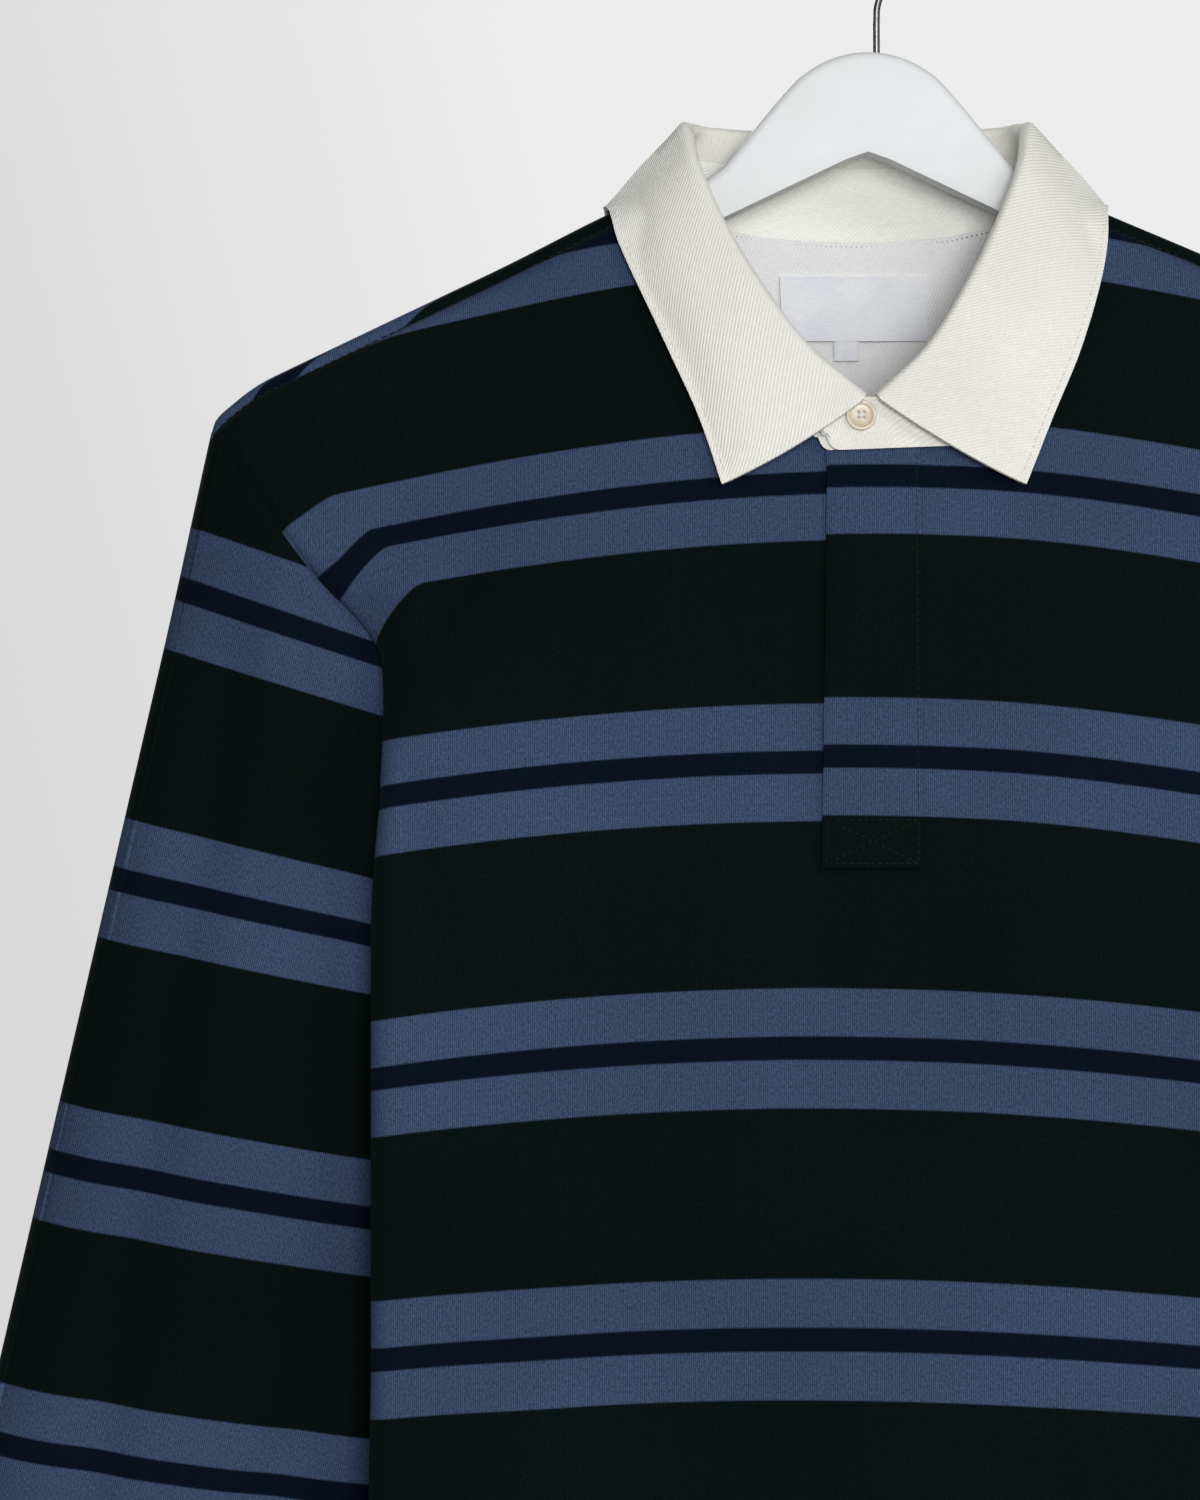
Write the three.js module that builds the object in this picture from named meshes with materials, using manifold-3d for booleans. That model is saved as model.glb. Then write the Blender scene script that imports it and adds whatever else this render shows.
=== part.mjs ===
// Long-sleeved rugby shirt hanging on a white wooden hanger. Millimetres, +Z up.
// The origin is the top inside of the hanger's hook. -Y is the shirt's front, +X is the viewer's right.
import * as THREE from 'three';
import Module from 'manifold-3d';
import { mergeVertices } from 'three/addons/utils/BufferGeometryUtils.js';

// Cloth
const jerseyThickness = 1.6;
const twillThickness = 2;
const facingThickness = 1.2;
const labelThickness = 1;
const seamGap = 0.3;
const layGap = 0.6;
const sharpMiter = 2.2;

// Where the shirt hangs from the hook. Its neck leans a little to the viewer's left.
const shirtShiftX = -3.5;
const neckLean = -4;
const neckLeanFrom = -230;
const neckLeanOver = 110;
const neckLeanWidth = { from: 84, over: 60 };

// Body. A place on the cloth is s across from the middle and t down from the level of the hook.
const bodyHalfGirth = 280;
const hemT = 846;
const acrossSpread = 0.985;
const ridgeRadius = 12;
const ridgeBaseT = 74.4;
const shoulderSlope = 0.485;
const neckSoftness = 35;
const shoulderRoundFrom = 222;
const shoulderRounding = 0.0134;
const shoulderSeamArc = 10.1;
const bulgeReach = 110;
const frontBulge = { middle: 48, edge: 36 };
const backBulge = { middle: 36, edge: 36 };
const ridgeLead = ridgeRadius * (Math.PI / 2 - 1);

// The fold at each side of the front and the back, which starts soft below the shoulder.
const foldStart = { top: 168, grown: 9.5, fromT: 270, overT: 130, hemGrowth: 0.02, hemFromT: 560 };
const foldTurn = { fromT: 252, toT: 345 };
const foldRadius = { grown: 9, soft: 8 };

// Neck
const neckHalfWidth = 78;
const slitHalfWidth = 8;
const frontNeckDrop = 93;
const slitEndRow = 10;

// Placket, collar band and button
const placket = { left: -17, right: 17.5, lowerLeft: -19.5, endT: 372, thick: 2, gap: 0.4 };
const underPlacket = { left: -17, right: 17, lowerLeft: -17, endT: 360 };
const neckFacing = { halfWidth: 68, roundWidth: 72, drop: 70, columns: 12, rows: 6 };
const neckLabel = { left: -28.5, right: 28.5, top: 148, bottom: 172.5 };
const sizeTab = { left: -9, right: 0.5, top: 172.9, bottom: 180.5 };
const foldDepth = { front: 10, back: 5.5, over: 0.45 };
const leafClearance = 5;
const shoulderClearance = 7;
const facingGap = 0.9;
const collarTurnIn = 14;
const overBand = { left: -16.5, top: -193.6, rise: 0.75 };
const button = { radius: 5.6, plate: 1.4, rim: 0.5, hole: 0.75, spacing: 1.4, x: -4, z: -200.5 };

// Sleeves. A sleeve's axis leans out from the shoulder point, and its section is a flat drop.
const sleeveLean = THREE.MathUtils.degToRad(13);
const sleeveOrigin = { x: 244, z: -202 };
const sleeveEnd = 562;
const sleeveRows = 17;
const sleeveBlend = 85;
const sleeveNoseRadius = 9.3;
const sleeveClearance = 3;
const cuffLength = 62;
const cuffRows = 4;
const sleeveTrough = { depth: 5, halfWidth: 13, topAcross: 22, gain: 0.058 };

// Hanger and hook
const hanger = {
  halfLength: 228,
  thick: 15,
  bevel: 3.4,
  topZ: -62,
  apexZ: -98.5,
  undercut: 0.475,
  underRidge: 4.4,
  armStations: [64, 74, 96, 130, 165, 200, 218],
};
const hook = { wireRadius: 1.3, innerRadius: 16, seat: 12 };

// The armhole on the cloth, from the shoulder seam's end to the underarm.
const armhole = [
  { s: 248, t: 212.5 },
  { s: 241, t: 220 },
  { s: 230.5, t: 233 },
  { s: 221, t: 247 },
  { s: 209, t: 265 },
  { s: 196.5, t: 286 },
  { s: 190, t: 310 },
  { s: 193, t: 337 },
  { s: 206, t: 362 },
  { s: 231, t: 388 },
  { s: 257, t: 406 },
  { s: bodyHalfGirth, t: 419 },
];

// The back's armhole begins on the front side of the shoulder's top line.
const backArmholeStart = [
  { s: 248, t: 192.3 },
  { s: 248.6, t: 199 },
  { s: 248.6, t: 206 },
];

// The back neckline, from the shoulder seam to the middle.
const backNeckline = [
  { s: 78, t: 105.8 },
  { s: 77, t: 113 },
  { s: 74, t: 120 },
  { s: 67, t: 127 },
  { s: 54, t: 132.5 },
  { s: 37, t: 136 },
  { s: 18, t: 137.6 },
  { s: 0, t: 138 },
];

// Where each further row meets the middle line, and the side seam below the armhole.
const frontMiddleT = [255, 292, 328, 362, 400];
const backMiddleT = [172, 210, 250, 290, 330, 372, 414];
const sideRows = [
  { middle: 440, side: 448 },
  { middle: 478, side: 482 },
  { middle: 516, side: 518 },
  { middle: 554, side: 554 },
  { middle: 592, side: 592 },
  { middle: 632, side: 632 },
  { middle: 674, side: 674 },
  { middle: 716, side: 716 },
  { middle: 758, side: 758 },
  { middle: 800, side: 800 },
  { middle: hemT, side: hemT },
];

// Soft hanging folds: place across at the top and at the hem, where each begins, its depth and width.
const hangingFolds = [
  { side: -1, topX: -120, hemX: -132, fromT: 420, overT: 260, depth: 7, width: 26 },
  { side: -1, topX: -48, hemX: -62, fromT: 520, overT: 260, depth: -5, width: 30 },
  { side: -1, topX: 52, hemX: 70, fromT: 480, overT: 280, depth: 6, width: 30 },
  { side: -1, topX: 128, hemX: 138, fromT: 440, overT: 260, depth: -6, width: 26 },
  { side: 1, topX: -110, hemX: -126, fromT: 400, overT: 260, depth: -7, width: 28 },
  { side: 1, topX: -30, hemX: -44, fromT: 460, overT: 260, depth: 6, width: 32 },
  { side: 1, topX: 64, hemX: 84, fromT: 430, overT: 280, depth: -6, width: 30 },
  { side: 1, topX: 126, hemX: 136, fromT: 520, overT: 240, depth: 6, width: 26 },
];

// Sleeve width across and half its thickness, at distances down its axis.
const sleeveSections = [
  { u: 0, width: 175.8, half: 19 },
  { u: 175, width: 175.8, half: 23 },
  { u: 330, width: 163, half: 25 },
  { u: 410, width: 154, half: 25 },
  { u: 480, width: 132, half: 23 },
  { u: 530, width: 110, half: 20 },
  { u: 562, width: 94, half: 14 },
];
const cuffSections = [
  { u: 0, width: 88, half: 11 },
  { u: 62, width: 84, half: 10 },
];

// The collar's fold line on the viewer's right: from the front end to the shoulder, then to the middle back.
const collarFoldFront = [
  { x: 2.5, y: -41, z: -190 },
  { x: 22, y: -37, z: -173 },
  { x: 37, y: -31, z: -151 },
  { x: 50, y: -22, z: -127 },
  { x: 59.5, y: -12, z: -107 },
  { x: 62.4, y: 0, z: -92 },
];
const collarFoldBack = [
  { x: 62.4, y: 0, z: -92 },
  { x: 55, y: 12, z: -89 },
  { x: 32, y: 19, z: -89 },
  { x: 0, y: 22, z: -89 },
];

// The collar's outer edge on the cloth below it: from its tip to the shoulder, then to the middle back.
const collarEdgeFront = [
  { side: -1, s: 56, t: 233, lift: 4.5 },
  { side: -1, s: 67, t: 208, lift: 4.5 },
  { side: -1, s: 79, t: 183, lift: 4.5 },
  { side: -1, s: 90, t: 154, lift: 4.5 },
  { side: -1, s: 95.5, t: 124, lift: 5 },
];
const collarEdgeBack = [
  { side: -1, s: 95.5, t: 124, lift: 5 },
  { side: 1, s: 90, t: 144, lift: 5 },
  { side: 1, s: 62, t: 162, lift: 5 },
  { side: 1, s: 0, t: 166, lift: 5 },
];

const colours = {
  jersey: 0x0c1f1f,
  twill: 0xe8e6de,
  facing: 0xdee0e2,
  label: 0xe4e5ee,
  button: 0xe2d4be,
  wood: 0xe2e5e6,
  steel: 0xb9bcc0,
};

const jersey = new THREE.MeshStandardMaterial({ color: colours.jersey, roughness: 0.9, metalness: 0 });
const twill = new THREE.MeshStandardMaterial({ color: colours.twill, roughness: 0.85, metalness: 0 });
const facingTwill = new THREE.MeshStandardMaterial({ color: colours.facing, roughness: 0.85, metalness: 0 });
const labelWeave = new THREE.MeshStandardMaterial({ color: colours.label, roughness: 0.6, metalness: 0 });
const horn = new THREE.MeshStandardMaterial({ color: colours.button, roughness: 0.35, metalness: 0 });
const paint = new THREE.MeshStandardMaterial({ color: colours.wood, roughness: 0.45, metalness: 0 });
const steel = new THREE.MeshStandardMaterial({ color: colours.steel, roughness: 0.25, metalness: 1 });

const shirt = new THREE.Group();
shirt.position.x = shirtShiftX;
const hangerGroup = new THREE.Group();
const garment = new THREE.Group();
garment.add(shirt, hangerGroup);

function lerp(a, b, f) {
  return a + (b - a) * f;
}

function smooth(f) {
  const k = THREE.MathUtils.clamp(f, 0, 1);
  return k * k * (3 - 2 * k);
}

// Reads a column of a table between its rows.
function along(table, key, column, place) {
  const last = table.length - 1;
  if (place <= table[0][key]) {
    return table[0][column];
  }
  for (let i = 0; i < last; i += 1) {
    if (place <= table[i + 1][key]) {
      const f = (place - table[i][key]) / (table[i + 1][key] - table[i][key]);
      return lerp(table[i][column], table[i + 1][column], f);
    }
  }
  return table[last][column];
}

// A faced cloth surface: points are shared where they coincide, and faces turn outward.
class Surface {
  constructor() {
    this.points = [];
    this.faces = [];
    this.known = new Map();
  }

  point(p) {
    const key = [p.x, p.y, p.z].map((v) => Math.round(v * 1000)).join(' ');
    if (!this.known.has(key)) {
      this.known.set(key, this.points.length);
      this.points.push(p.clone());
    }
    return this.known.get(key);
  }

  face(corners) {
    const ring = corners.filter((c, i) => c !== corners[(i + 1) % corners.length]);
    if (ring.length > 2) {
      this.faces.push(ring);
    }
  }

  // Rows of points become faces. turned reverses them.
  grid(rows, turned) {
    const index = rows.map((row) => row.map((p) => this.point(p)));
    for (let r = 0; r + 1 < index.length; r += 1) {
      for (let c = 0; c + 1 < index[r].length; c += 1) {
        const ring = [index[r][c], index[r][c + 1], index[r + 1][c + 1], index[r + 1][c]];
        this.face(turned ? ring.reverse() : ring);
      }
    }
    return index;
  }

  faceNormal(ring) {
    const normal = new THREE.Vector3();
    for (let i = 1; i + 1 < ring.length; i += 1) {
      const a = this.points[ring[i]].clone().sub(this.points[ring[0]]);
      const b = this.points[ring[i + 1]].clone().sub(this.points[ring[0]]);
      normal.add(a.cross(b));
    }
    return normal.normalize();
  }

  // The way inward at each point, long enough at a bend to keep the wall's thickness.
  inward() {
    const around = this.points.map(() => []);
    for (const ring of this.faces) {
      const normal = this.faceNormal(ring);
      ring.forEach((i) => around[i].push(normal));
    }
    return around.map((normals) => {
      const mean = normals.reduce((sum, n) => sum.add(n), new THREE.Vector3()).normalize();
      const least = Math.min(...normals.map((n) => n.dot(mean)));
      return mean.multiplyScalar(-Math.min(1 / Math.max(least, 0.01), sharpMiter));
    });
  }
}

// Turns the wall's ends square to an axis.
function squareEnds(inward, indexes, axis) {
  indexes.forEach((i) => inward[i].addScaledVector(axis, -inward[i].dot(axis)));
}

// Where two pieces meet almost flat, both walls end on the same line.
function matchEnds(aInward, aIndex, bInward, bIndex) {
  aIndex.forEach((i, k) => {
    const j = bIndex[k];
    const m = aInward[i].clone().normalize();
    const n = bInward[j].clone().normalize();
    if (m.dot(n) > 0.3) {
      const mean = m.add(n).normalize();
      const stretch = Math.min(1 / Math.max(n.dot(mean), 0.1), sharpMiter);
      aInward[i].copy(mean).multiplyScalar(stretch);
      bInward[j].copy(mean).multiplyScalar(stretch);
    }
  });
}

// Which way an edge runs, so that the rims on both sides of a seam are split alike.
function runsUp(a, b) {
  const way = b.clone().sub(a).toArray();
  const largest = Math.max(...way.map(Math.abs));
  return way.some((v) => v === largest);
}

// The closed wall behind a surface.
function wallGeometry(surface, thickness, inward = surface.inward()) {
  const count = surface.points.length;
  const inner = surface.points.map((p, i) => p.clone().addScaledVector(inward[i], thickness));
  const positions = [...surface.points, ...inner].flatMap((p) => [p.x, p.y, p.z]);
  const triangles = [];
  const directed = new Set();
  for (const ring of surface.faces) {
    for (let i = 1; i + 1 < ring.length; i += 1) {
      triangles.push(ring[0], ring[i], ring[i + 1]);
      triangles.push(count + ring[0], count + ring[i + 1], count + ring[i]);
    }
    ring.forEach((a, i) => directed.add(`${a} ${ring[(i + 1) % ring.length]}`));
  }
  for (const edge of directed) {
    const [a, b] = edge.split(' ').map(Number);
    if (!directed.has(`${b} ${a}`)) {
      if (runsUp(surface.points[a], surface.points[b])) {
        triangles.push(b, a, count + a);
        triangles.push(b, count + a, count + b);
      } else {
        triangles.push(b, a, count + b);
        triangles.push(a, count + a, count + b);
      }
    }
  }
  const geometry = new THREE.BufferGeometry();
  geometry.setAttribute('position', new THREE.Float32BufferAttribute(positions, 3));
  geometry.setIndex(triangles);
  return geometry;
}

function addPiece(group, name, geometry, material) {
  geometry.computeVertexNormals();
  const mesh = new THREE.Mesh(geometry, material);
  mesh.name = name;
  group.add(mesh);
  return mesh;
}

// The neck's lean shifts the points round the neck by their height.
function leaned(p) {
  const beside = 1 - smooth((Math.abs(p.x) - neckLeanWidth.from) / neckLeanWidth.over);
  p.x += neckLean * beside * smooth((p.z - neckLeanFrom) / neckLeanOver);
  return p;
}

// The t of the shoulder's top line at x.
function ridgeT(x) {
  const past = Math.max(Math.abs(x) - shoulderRoundFrom, 0);
  return ridgeBaseT + shoulderSlope * Math.hypot(x, neckSoftness) + shoulderRounding * past * past;
}

// How far the fold's cloth has gone out and back, at an arc past the fold's start.
function foldOffset(arc, radius, turn) {
  const bend = Math.min(arc / radius, turn);
  const rest = Math.max(arc - radius * turn, 0);
  return {
    out: radius * Math.sin(bend) + rest * Math.cos(turn),
    back: radius * (1 - Math.cos(bend)) + rest * Math.sin(turn),
  };
}

// The turn that brings the side seam to the garment's middle plane.
function fullTurn(arc, radius, depth) {
  let low = Math.PI / 2;
  let high = Math.PI;
  for (let i = 0; i < 40; i += 1) {
    const turn = (low + high) / 2;
    if (foldOffset(arc, radius, turn).back > depth) {
      low = turn;
    } else {
      high = turn;
    }
  }
  return (low + high) / 2;
}

// A place on the body's cloth: s across (either sign), t down, on the front (-1) or the back (1).
function bodyPoint(s, t, side) {
  const hand = s < 0 ? -1 : 1;
  const across = Math.abs(s);
  const bulge = side < 0 ? frontBulge : backBulge;
  const grown = smooth((t - foldTurn.fromT) / (foldTurn.toT - foldTurn.fromT));
  const radius = foldRadius.grown + foldRadius.soft * (1 - grown);
  const hemGrowth = foldStart.hemGrowth * Math.max(t - foldStart.hemFromT, 0);
  const start = foldStart.top + foldStart.grown * smooth((t - foldStart.fromT) / foldStart.overT) + hemGrowth;
  const flat = Math.min(across, start);
  const arc = across - flat;
  const open = bulge.edge + ridgeRadius - seamGap / 2;
  const reach = t > foldTurn.fromT ? fullTurn(bodyHalfGirth - start, radius, open) * grown : 0;
  const fold = arc > 0 && reach > 0 ? foldOffset(arc, radius, reach) : { out: arc, back: 0 };
  const x = acrossSpread * flat + fold.out;
  const e = t - ridgeT(x);
  const quarter = ridgeRadius * Math.PI / 2;
  const roll = THREE.MathUtils.clamp(e / ridgeRadius, -Math.PI / 2, Math.PI / 2);
  const drop = ridgeRadius * (1 - Math.cos(roll)) + Math.max(e - quarter, 0);
  const swell = 1 - Math.exp(-Math.max(e - shoulderSeamArc, 0) / bulgeReach);
  const settled = smooth((t - foldTurn.fromT) / (foldTurn.toT - foldTurn.fromT));
  const edgeSwell = lerp(swell, 1, settled);
  const share = (flat / start) ** 2;
  const depth = ridgeRadius * Math.sin(roll) + bulge.middle * swell * (1 - share) + bulge.edge * edgeSwell * share;
  let wave = 0;
  for (const f of hangingFolds) {
    if (f.side === side && arc === 0) {
      const centre = lerp(f.topX, f.hemX, (t - f.fromT) / (hemT - f.fromT));
      const away = (hand * x - centre) / f.width;
      wave += f.depth * smooth((t - f.fromT) / f.overT) * Math.exp(-away * away);
    }
  }
  const fade = 1 - smooth((across - (start - 30)) / 30);
  const z = -ridgeT(x) - drop;
  return new THREE.Vector3(hand * x, side * (depth + wave * fade - fold.back), z);
}

function bodyNormal(s, t, side) {
  const step = 2;
  const across = bodyPoint(s + step, t, side).sub(bodyPoint(s - step, t, side));
  const down = bodyPoint(s, t + step, side).sub(bodyPoint(s, t - step, side));
  return across.cross(down).multiplyScalar(side).normalize();
}

function liftedPoint(s, t, side, lift) {
  return bodyPoint(s, t, side).addScaledVector(bodyNormal(s, t, side), lift);
}

// The places of one row across half a panel: even on the flat, closer on the fold, then the gusset.
function rowPlaces(inner, outer) {
  const foldEnd = Math.min(208, outer - 6);
  const foldFrom = Math.min(166, foldEnd - 20);
  const places = [];
  for (let i = 0; i < 5; i += 1) {
    places.push(lerp(inner, foldFrom, i / 5));
  }
  for (let i = 0; i < 6; i += 1) {
    places.push(lerp(foldFrom, foldEnd, i / 6));
  }
  for (let i = 0; i <= 3; i += 1) {
    places.push(lerp(foldEnd, outer, i / 3));
  }
  return places;
}

// The ends of every row of half a panel, from the shoulder seam to the hem.
function panelRows(side) {
  const outer = side < 0 ? armhole : [...backArmholeStart, ...armhole];
  const neckRows = side < 0 ? 7 : backNeckline.length;
  const middle = side < 0 ? frontMiddleT : backMiddleT;
  const rows = outer.map((end, k) => {
    if (k >= neckRows) {
      return { inS: side < 0 ? slitHalfWidth : 0, inT: middle[k - neckRows], outS: end.s, outT: end.t };
    }
    if (side > 0) {
      return { inS: backNeckline[k].s, inT: backNeckline[k].t, outS: end.s, outT: end.t };
    }
    const angle = (k / (neckRows - 1)) * Math.acos(slitHalfWidth / neckHalfWidth);
    const inS = neckHalfWidth * Math.cos(angle);
    const top = ridgeT(neckHalfWidth * acrossSpread) + shoulderSeamArc;
    return { inS, inT: top + frontNeckDrop * Math.sin(angle), outS: end.s, outT: end.t };
  });
  for (const row of sideRows) {
    rows.push({ inS: side < 0 ? slitHalfWidth : 0, inT: row.middle, outS: bodyHalfGirth, outT: row.side });
  }
  return rows;
}

// The points of half a panel. Rows follow the shoulder at the top and turn level below it.
function halfPanel(side, hand) {
  return panelRows(side).map((row, k) => {
    const places = rowPlaces(row.inS, row.outS);
    const level = smooth((k - (side > 0 ? 3 : 0)) / 8);
    const inE = row.inT - ridgeT(row.inS * acrossSpread);
    const outE = row.outT - ridgeT(row.outS * acrossSpread);
    const points = places.map((s) => {
      const f = (s - row.inS) / (row.outS - row.inS);
      const alongRidge = ridgeT(s * acrossSpread) + lerp(inE, outE, f);
      const t = lerp(alongRidge, lerp(row.inT, row.outT, f), level);
      return bodyPoint(hand * s, t, side);
    });
    return points;
  });
}

// Moves the ends of a line of points off the seam that they stand on.
function offSeam(points, inside, distance = seamGap / 2) {
  return points.map((p, i) => {
    const away = inside[i].clone().sub(p).normalize();
    return p.clone().addScaledVector(away, distance);
  });
}

// A panel with both halves, its seam points kept for the pieces that join it.
function makePanel(side) {
  const surface = new Surface();
  const seams = {};
  const armholeRows = side < 0 ? armhole.length : armhole.length + backArmholeStart.length;
  for (const hand of [-1, 1]) {
    const rows = halfPanel(side, hand);
    const last = rows[0].length - 1;
    const shoulder = rows[0].map((p) => p.clone());
    const arm = rows.slice(0, armholeRows).map((row) => row[last].clone());
    const neck = rows.slice(0, side < 0 ? 7 : backNeckline.length).map((row) => row[0].clone());
    rows[0] = offSeam(rows[0], rows[1]);
    const armInside = rows.slice(0, armholeRows).map((row) => row[last - 1]);
    const armMoved = offSeam(rows.slice(0, armholeRows).map((row) => row[last]), armInside);
    armMoved.forEach((p, k) => {
      rows[k][last] = p;
    });
    const index = surface.grid(rows.map((row) => row.map((p) => leaned(p.clone()))), (hand > 0) === (side < 0));
    seams[hand] = {
      shoulder,
      arm,
      neck,
      rows,
      shoulderIndex: index[0],
      armIndex: index.slice(0, armholeRows).map((row) => row[last]),
      firstColumn: index.map((row) => row[0]),
    };
  }
  if (side < 0) {
    const left = seams[-1].firstColumn;
    const right = seams[1].firstColumn;
    for (let k = slitEndRow; k + 1 < left.length; k += 1) {
      surface.face([left[k], left[k + 1], right[k + 1], right[k]]);
    }
  }
  return { surface, seams };
}

const front = makePanel(-1);
const back = makePanel(1);
const frontInward = front.surface.inward();
const backInward = back.surface.inward();
for (const hand of [-1, 1]) {
  const a = front.seams[hand].shoulderIndex;
  const b = back.seams[hand].shoulderIndex;
  matchEnds(frontInward, a, backInward, b);
}

// Sleeves
const sleeveDown = new THREE.Vector2(-Math.sin(sleeveLean), -Math.cos(sleeveLean));
const sleeveAcross = new THREE.Vector2(Math.cos(sleeveLean), -Math.sin(sleeveLean));

// A teardrop: round at the outer edge, sharp at the underarm, 1 at its thickest.
function dropShape(x) {
  return 2.598 * Math.sqrt(Math.max(x, 0)) * (1 - x);
}

// A point of the left sleeve's section, then turned to either hand.
function sleevePoint(hand, u, x, facing, width, half) {
  const across = x * width;
  const centre = sleeveTrough.topAcross + sleeveTrough.gain * u;
  const away = (across - centre) / sleeveTrough.halfWidth;
  const dent = sleeveTrough.depth * Math.exp(-away * away) * smooth((u - 90) / 80) * smooth((sleeveEnd - u) / 120);
  const y = facing * Math.max(half * dropShape(x) - dent, 0);
  const px = -sleeveOrigin.x + sleeveDown.x * u + sleeveAcross.x * across;
  const pz = sleeveOrigin.z + sleeveDown.y * u + sleeveAcross.y * across;
  return new THREE.Vector3(-hand * px, y, pz);
}

// Keeps a sleeve's point inside the gap between the front's and the back's gussets.
function insideGusset(p, clearance) {
  const apex = bodyPoint(bodyHalfGirth, hemT / 2, -1);
  const high = bodyPoint(bodyHalfGirth - 60, hemT / 2, -1);
  const slope = (apex.y - high.y) / (high.x - apex.x);
  const across = Math.abs(p.x) - apex.x;
  const most = Math.max(across * slope, 0) - clearance;
  if (Math.abs(p.x) < high.x + 4 && Math.abs(p.y) > most) {
    p.y = Math.sign(p.y) * Math.max(most, 0);
  }
  return p;
}

// The columns of a sleeve start on the armhole, from the underarm up the front and down the back.
function sleeveColumns(hand) {
  const frontArm = front.seams[hand].arm;
  const backArm = back.seams[hand].arm;
  const line = [...frontArm.slice().reverse(), ...backArm.slice(1)];
  const indexes = [
    ...front.seams[hand].armIndex.slice().reverse().map((i) => ({ inward: frontInward, i })),
    ...back.seams[hand].armIndex.slice(1).map((i) => ({ inward: backInward, i })),
  ];
  return line.map((seam, k) => {
    const dx = -hand * seam.x + sleeveOrigin.x;
    const dz = seam.z - sleeveOrigin.z;
    const u = dx * sleeveDown.x + dz * sleeveDown.y;
    const across = dx * sleeveAcross.x + dz * sleeveAcross.y;
    const width = along(sleeveSections, 'u', 'width', u);
    const nose = (seam.y * seam.y) / (2 * sleeveNoseRadius * width);
    const nearTop = k >= frontArm.length - 1 && k < frontArm.length + backArmholeStart.length;
    let x = nearTop ? Math.min(nose, 0.03) : across / width;
    if (k === 0 || k === line.length - 1) {
      x = 1;
    }
    return { seam, u, x, facing: seam.y < 0 ? -1 : 1, joined: indexes[k], end: k === 0 || k === line.length - 1 };
  });
}

function makeSleeve(hand) {
  const columns = sleeveColumns(hand);
  const surface = new Surface();
  const rows = [];
  for (let r = 0; r <= sleeveRows; r += 1) {
    const row = columns.map((c) => {
      const f = (r / sleeveRows) ** 1.15;
      const u = lerp(c.u, sleeveEnd, f);
      const width = along(sleeveSections, 'u', 'width', u);
      const half = along(sleeveSections, 'u', 'half', u);
      const nominal = sleevePoint(hand, c.u, c.x, c.facing, along(sleeveSections, 'u', 'width', c.u),
        along(sleeveSections, 'u', 'half', c.u));
      const shift = c.seam.clone().sub(nominal);
      if (c.end) {
        shift.y = -nominal.y;
      }
      const point = sleevePoint(hand, u, c.x, c.facing, width, half);
      const keep = 1 - smooth((u - c.u) / sleeveBlend);
      point.addScaledVector(shift, keep);
      return r > 0 ? insideGusset(point, sleeveClearance * smooth((u - c.u) / 30)) : point;
    });
    rows.push(row);
  }
  rows[0] = offSeam(rows[0], rows[1], seamGap);
  const index = surface.grid(rows.map((row) => row.map((p) => leaned(p.clone()))), hand > 0);
  const inward = surface.inward();
  columns.forEach((c, k) => {
    if (!c.end) {
      matchEnds(inward, [index[0][k]], c.joined.inward, [c.joined.i]);
    }
  });
  squareEnds(inward, index[sleeveRows], new THREE.Vector3(-hand * sleeveDown.x, 0, sleeveDown.y));
  return wallGeometry(surface, jerseyThickness, inward);
}

function makeCuff(hand) {
  const surface = new Surface();
  const rows = [];
  const sides = 24;
  for (let r = 0; r <= cuffRows; r += 1) {
    const down = (r / cuffRows) * cuffLength;
    const width = along(cuffSections, 'u', 'width', down);
    const half = along(cuffSections, 'u', 'half', down);
    const shiftIn = (along(sleeveSections, 'u', 'width', sleeveEnd) - width) / 2;
    const row = [];
    for (let i = 0; i <= sides; i += 1) {
      const angle = (i / sides) * 2 * Math.PI;
      const across = shiftIn + (width / 2) * (1 - Math.cos(angle));
      const u = sleeveEnd + seamGap + down;
      const px = -sleeveOrigin.x + sleeveDown.x * u + sleeveAcross.x * across;
      const pz = sleeveOrigin.z + sleeveDown.y * u + sleeveAcross.y * across;
      row.push(new THREE.Vector3(-hand * px, -half * Math.sin(angle), pz));
    }
    rows.push(row);
  }
  const index = surface.grid(rows, hand < 0);
  const inward = surface.inward();
  squareEnds(inward, index[0], new THREE.Vector3(-hand * sleeveDown.x, 0, sleeveDown.y));
  return wallGeometry(surface, twillThickness, inward);
}

const sleeveLeft = makeSleeve(-1);
const sleeveRight = makeSleeve(1);
addPiece(shirt, 'front_panel', wallGeometry(front.surface, jerseyThickness, frontInward), jersey);
addPiece(shirt, 'back_panel', wallGeometry(back.surface, jerseyThickness, backInward), jersey);
addPiece(shirt, 'sleeve_left', sleeveLeft, jersey);
addPiece(shirt, 'sleeve_right', sleeveRight, jersey);
addPiece(shirt, 'cuff_left', makeCuff(-1), jersey);
addPiece(shirt, 'cuff_right', makeCuff(1), jersey);

// Collar. Its lines run from the viewer's left front end, round the back, to the right front end.
function curveThrough(points) {
  return new THREE.CatmullRomCurve3(points, false, 'centripetal');
}

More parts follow.
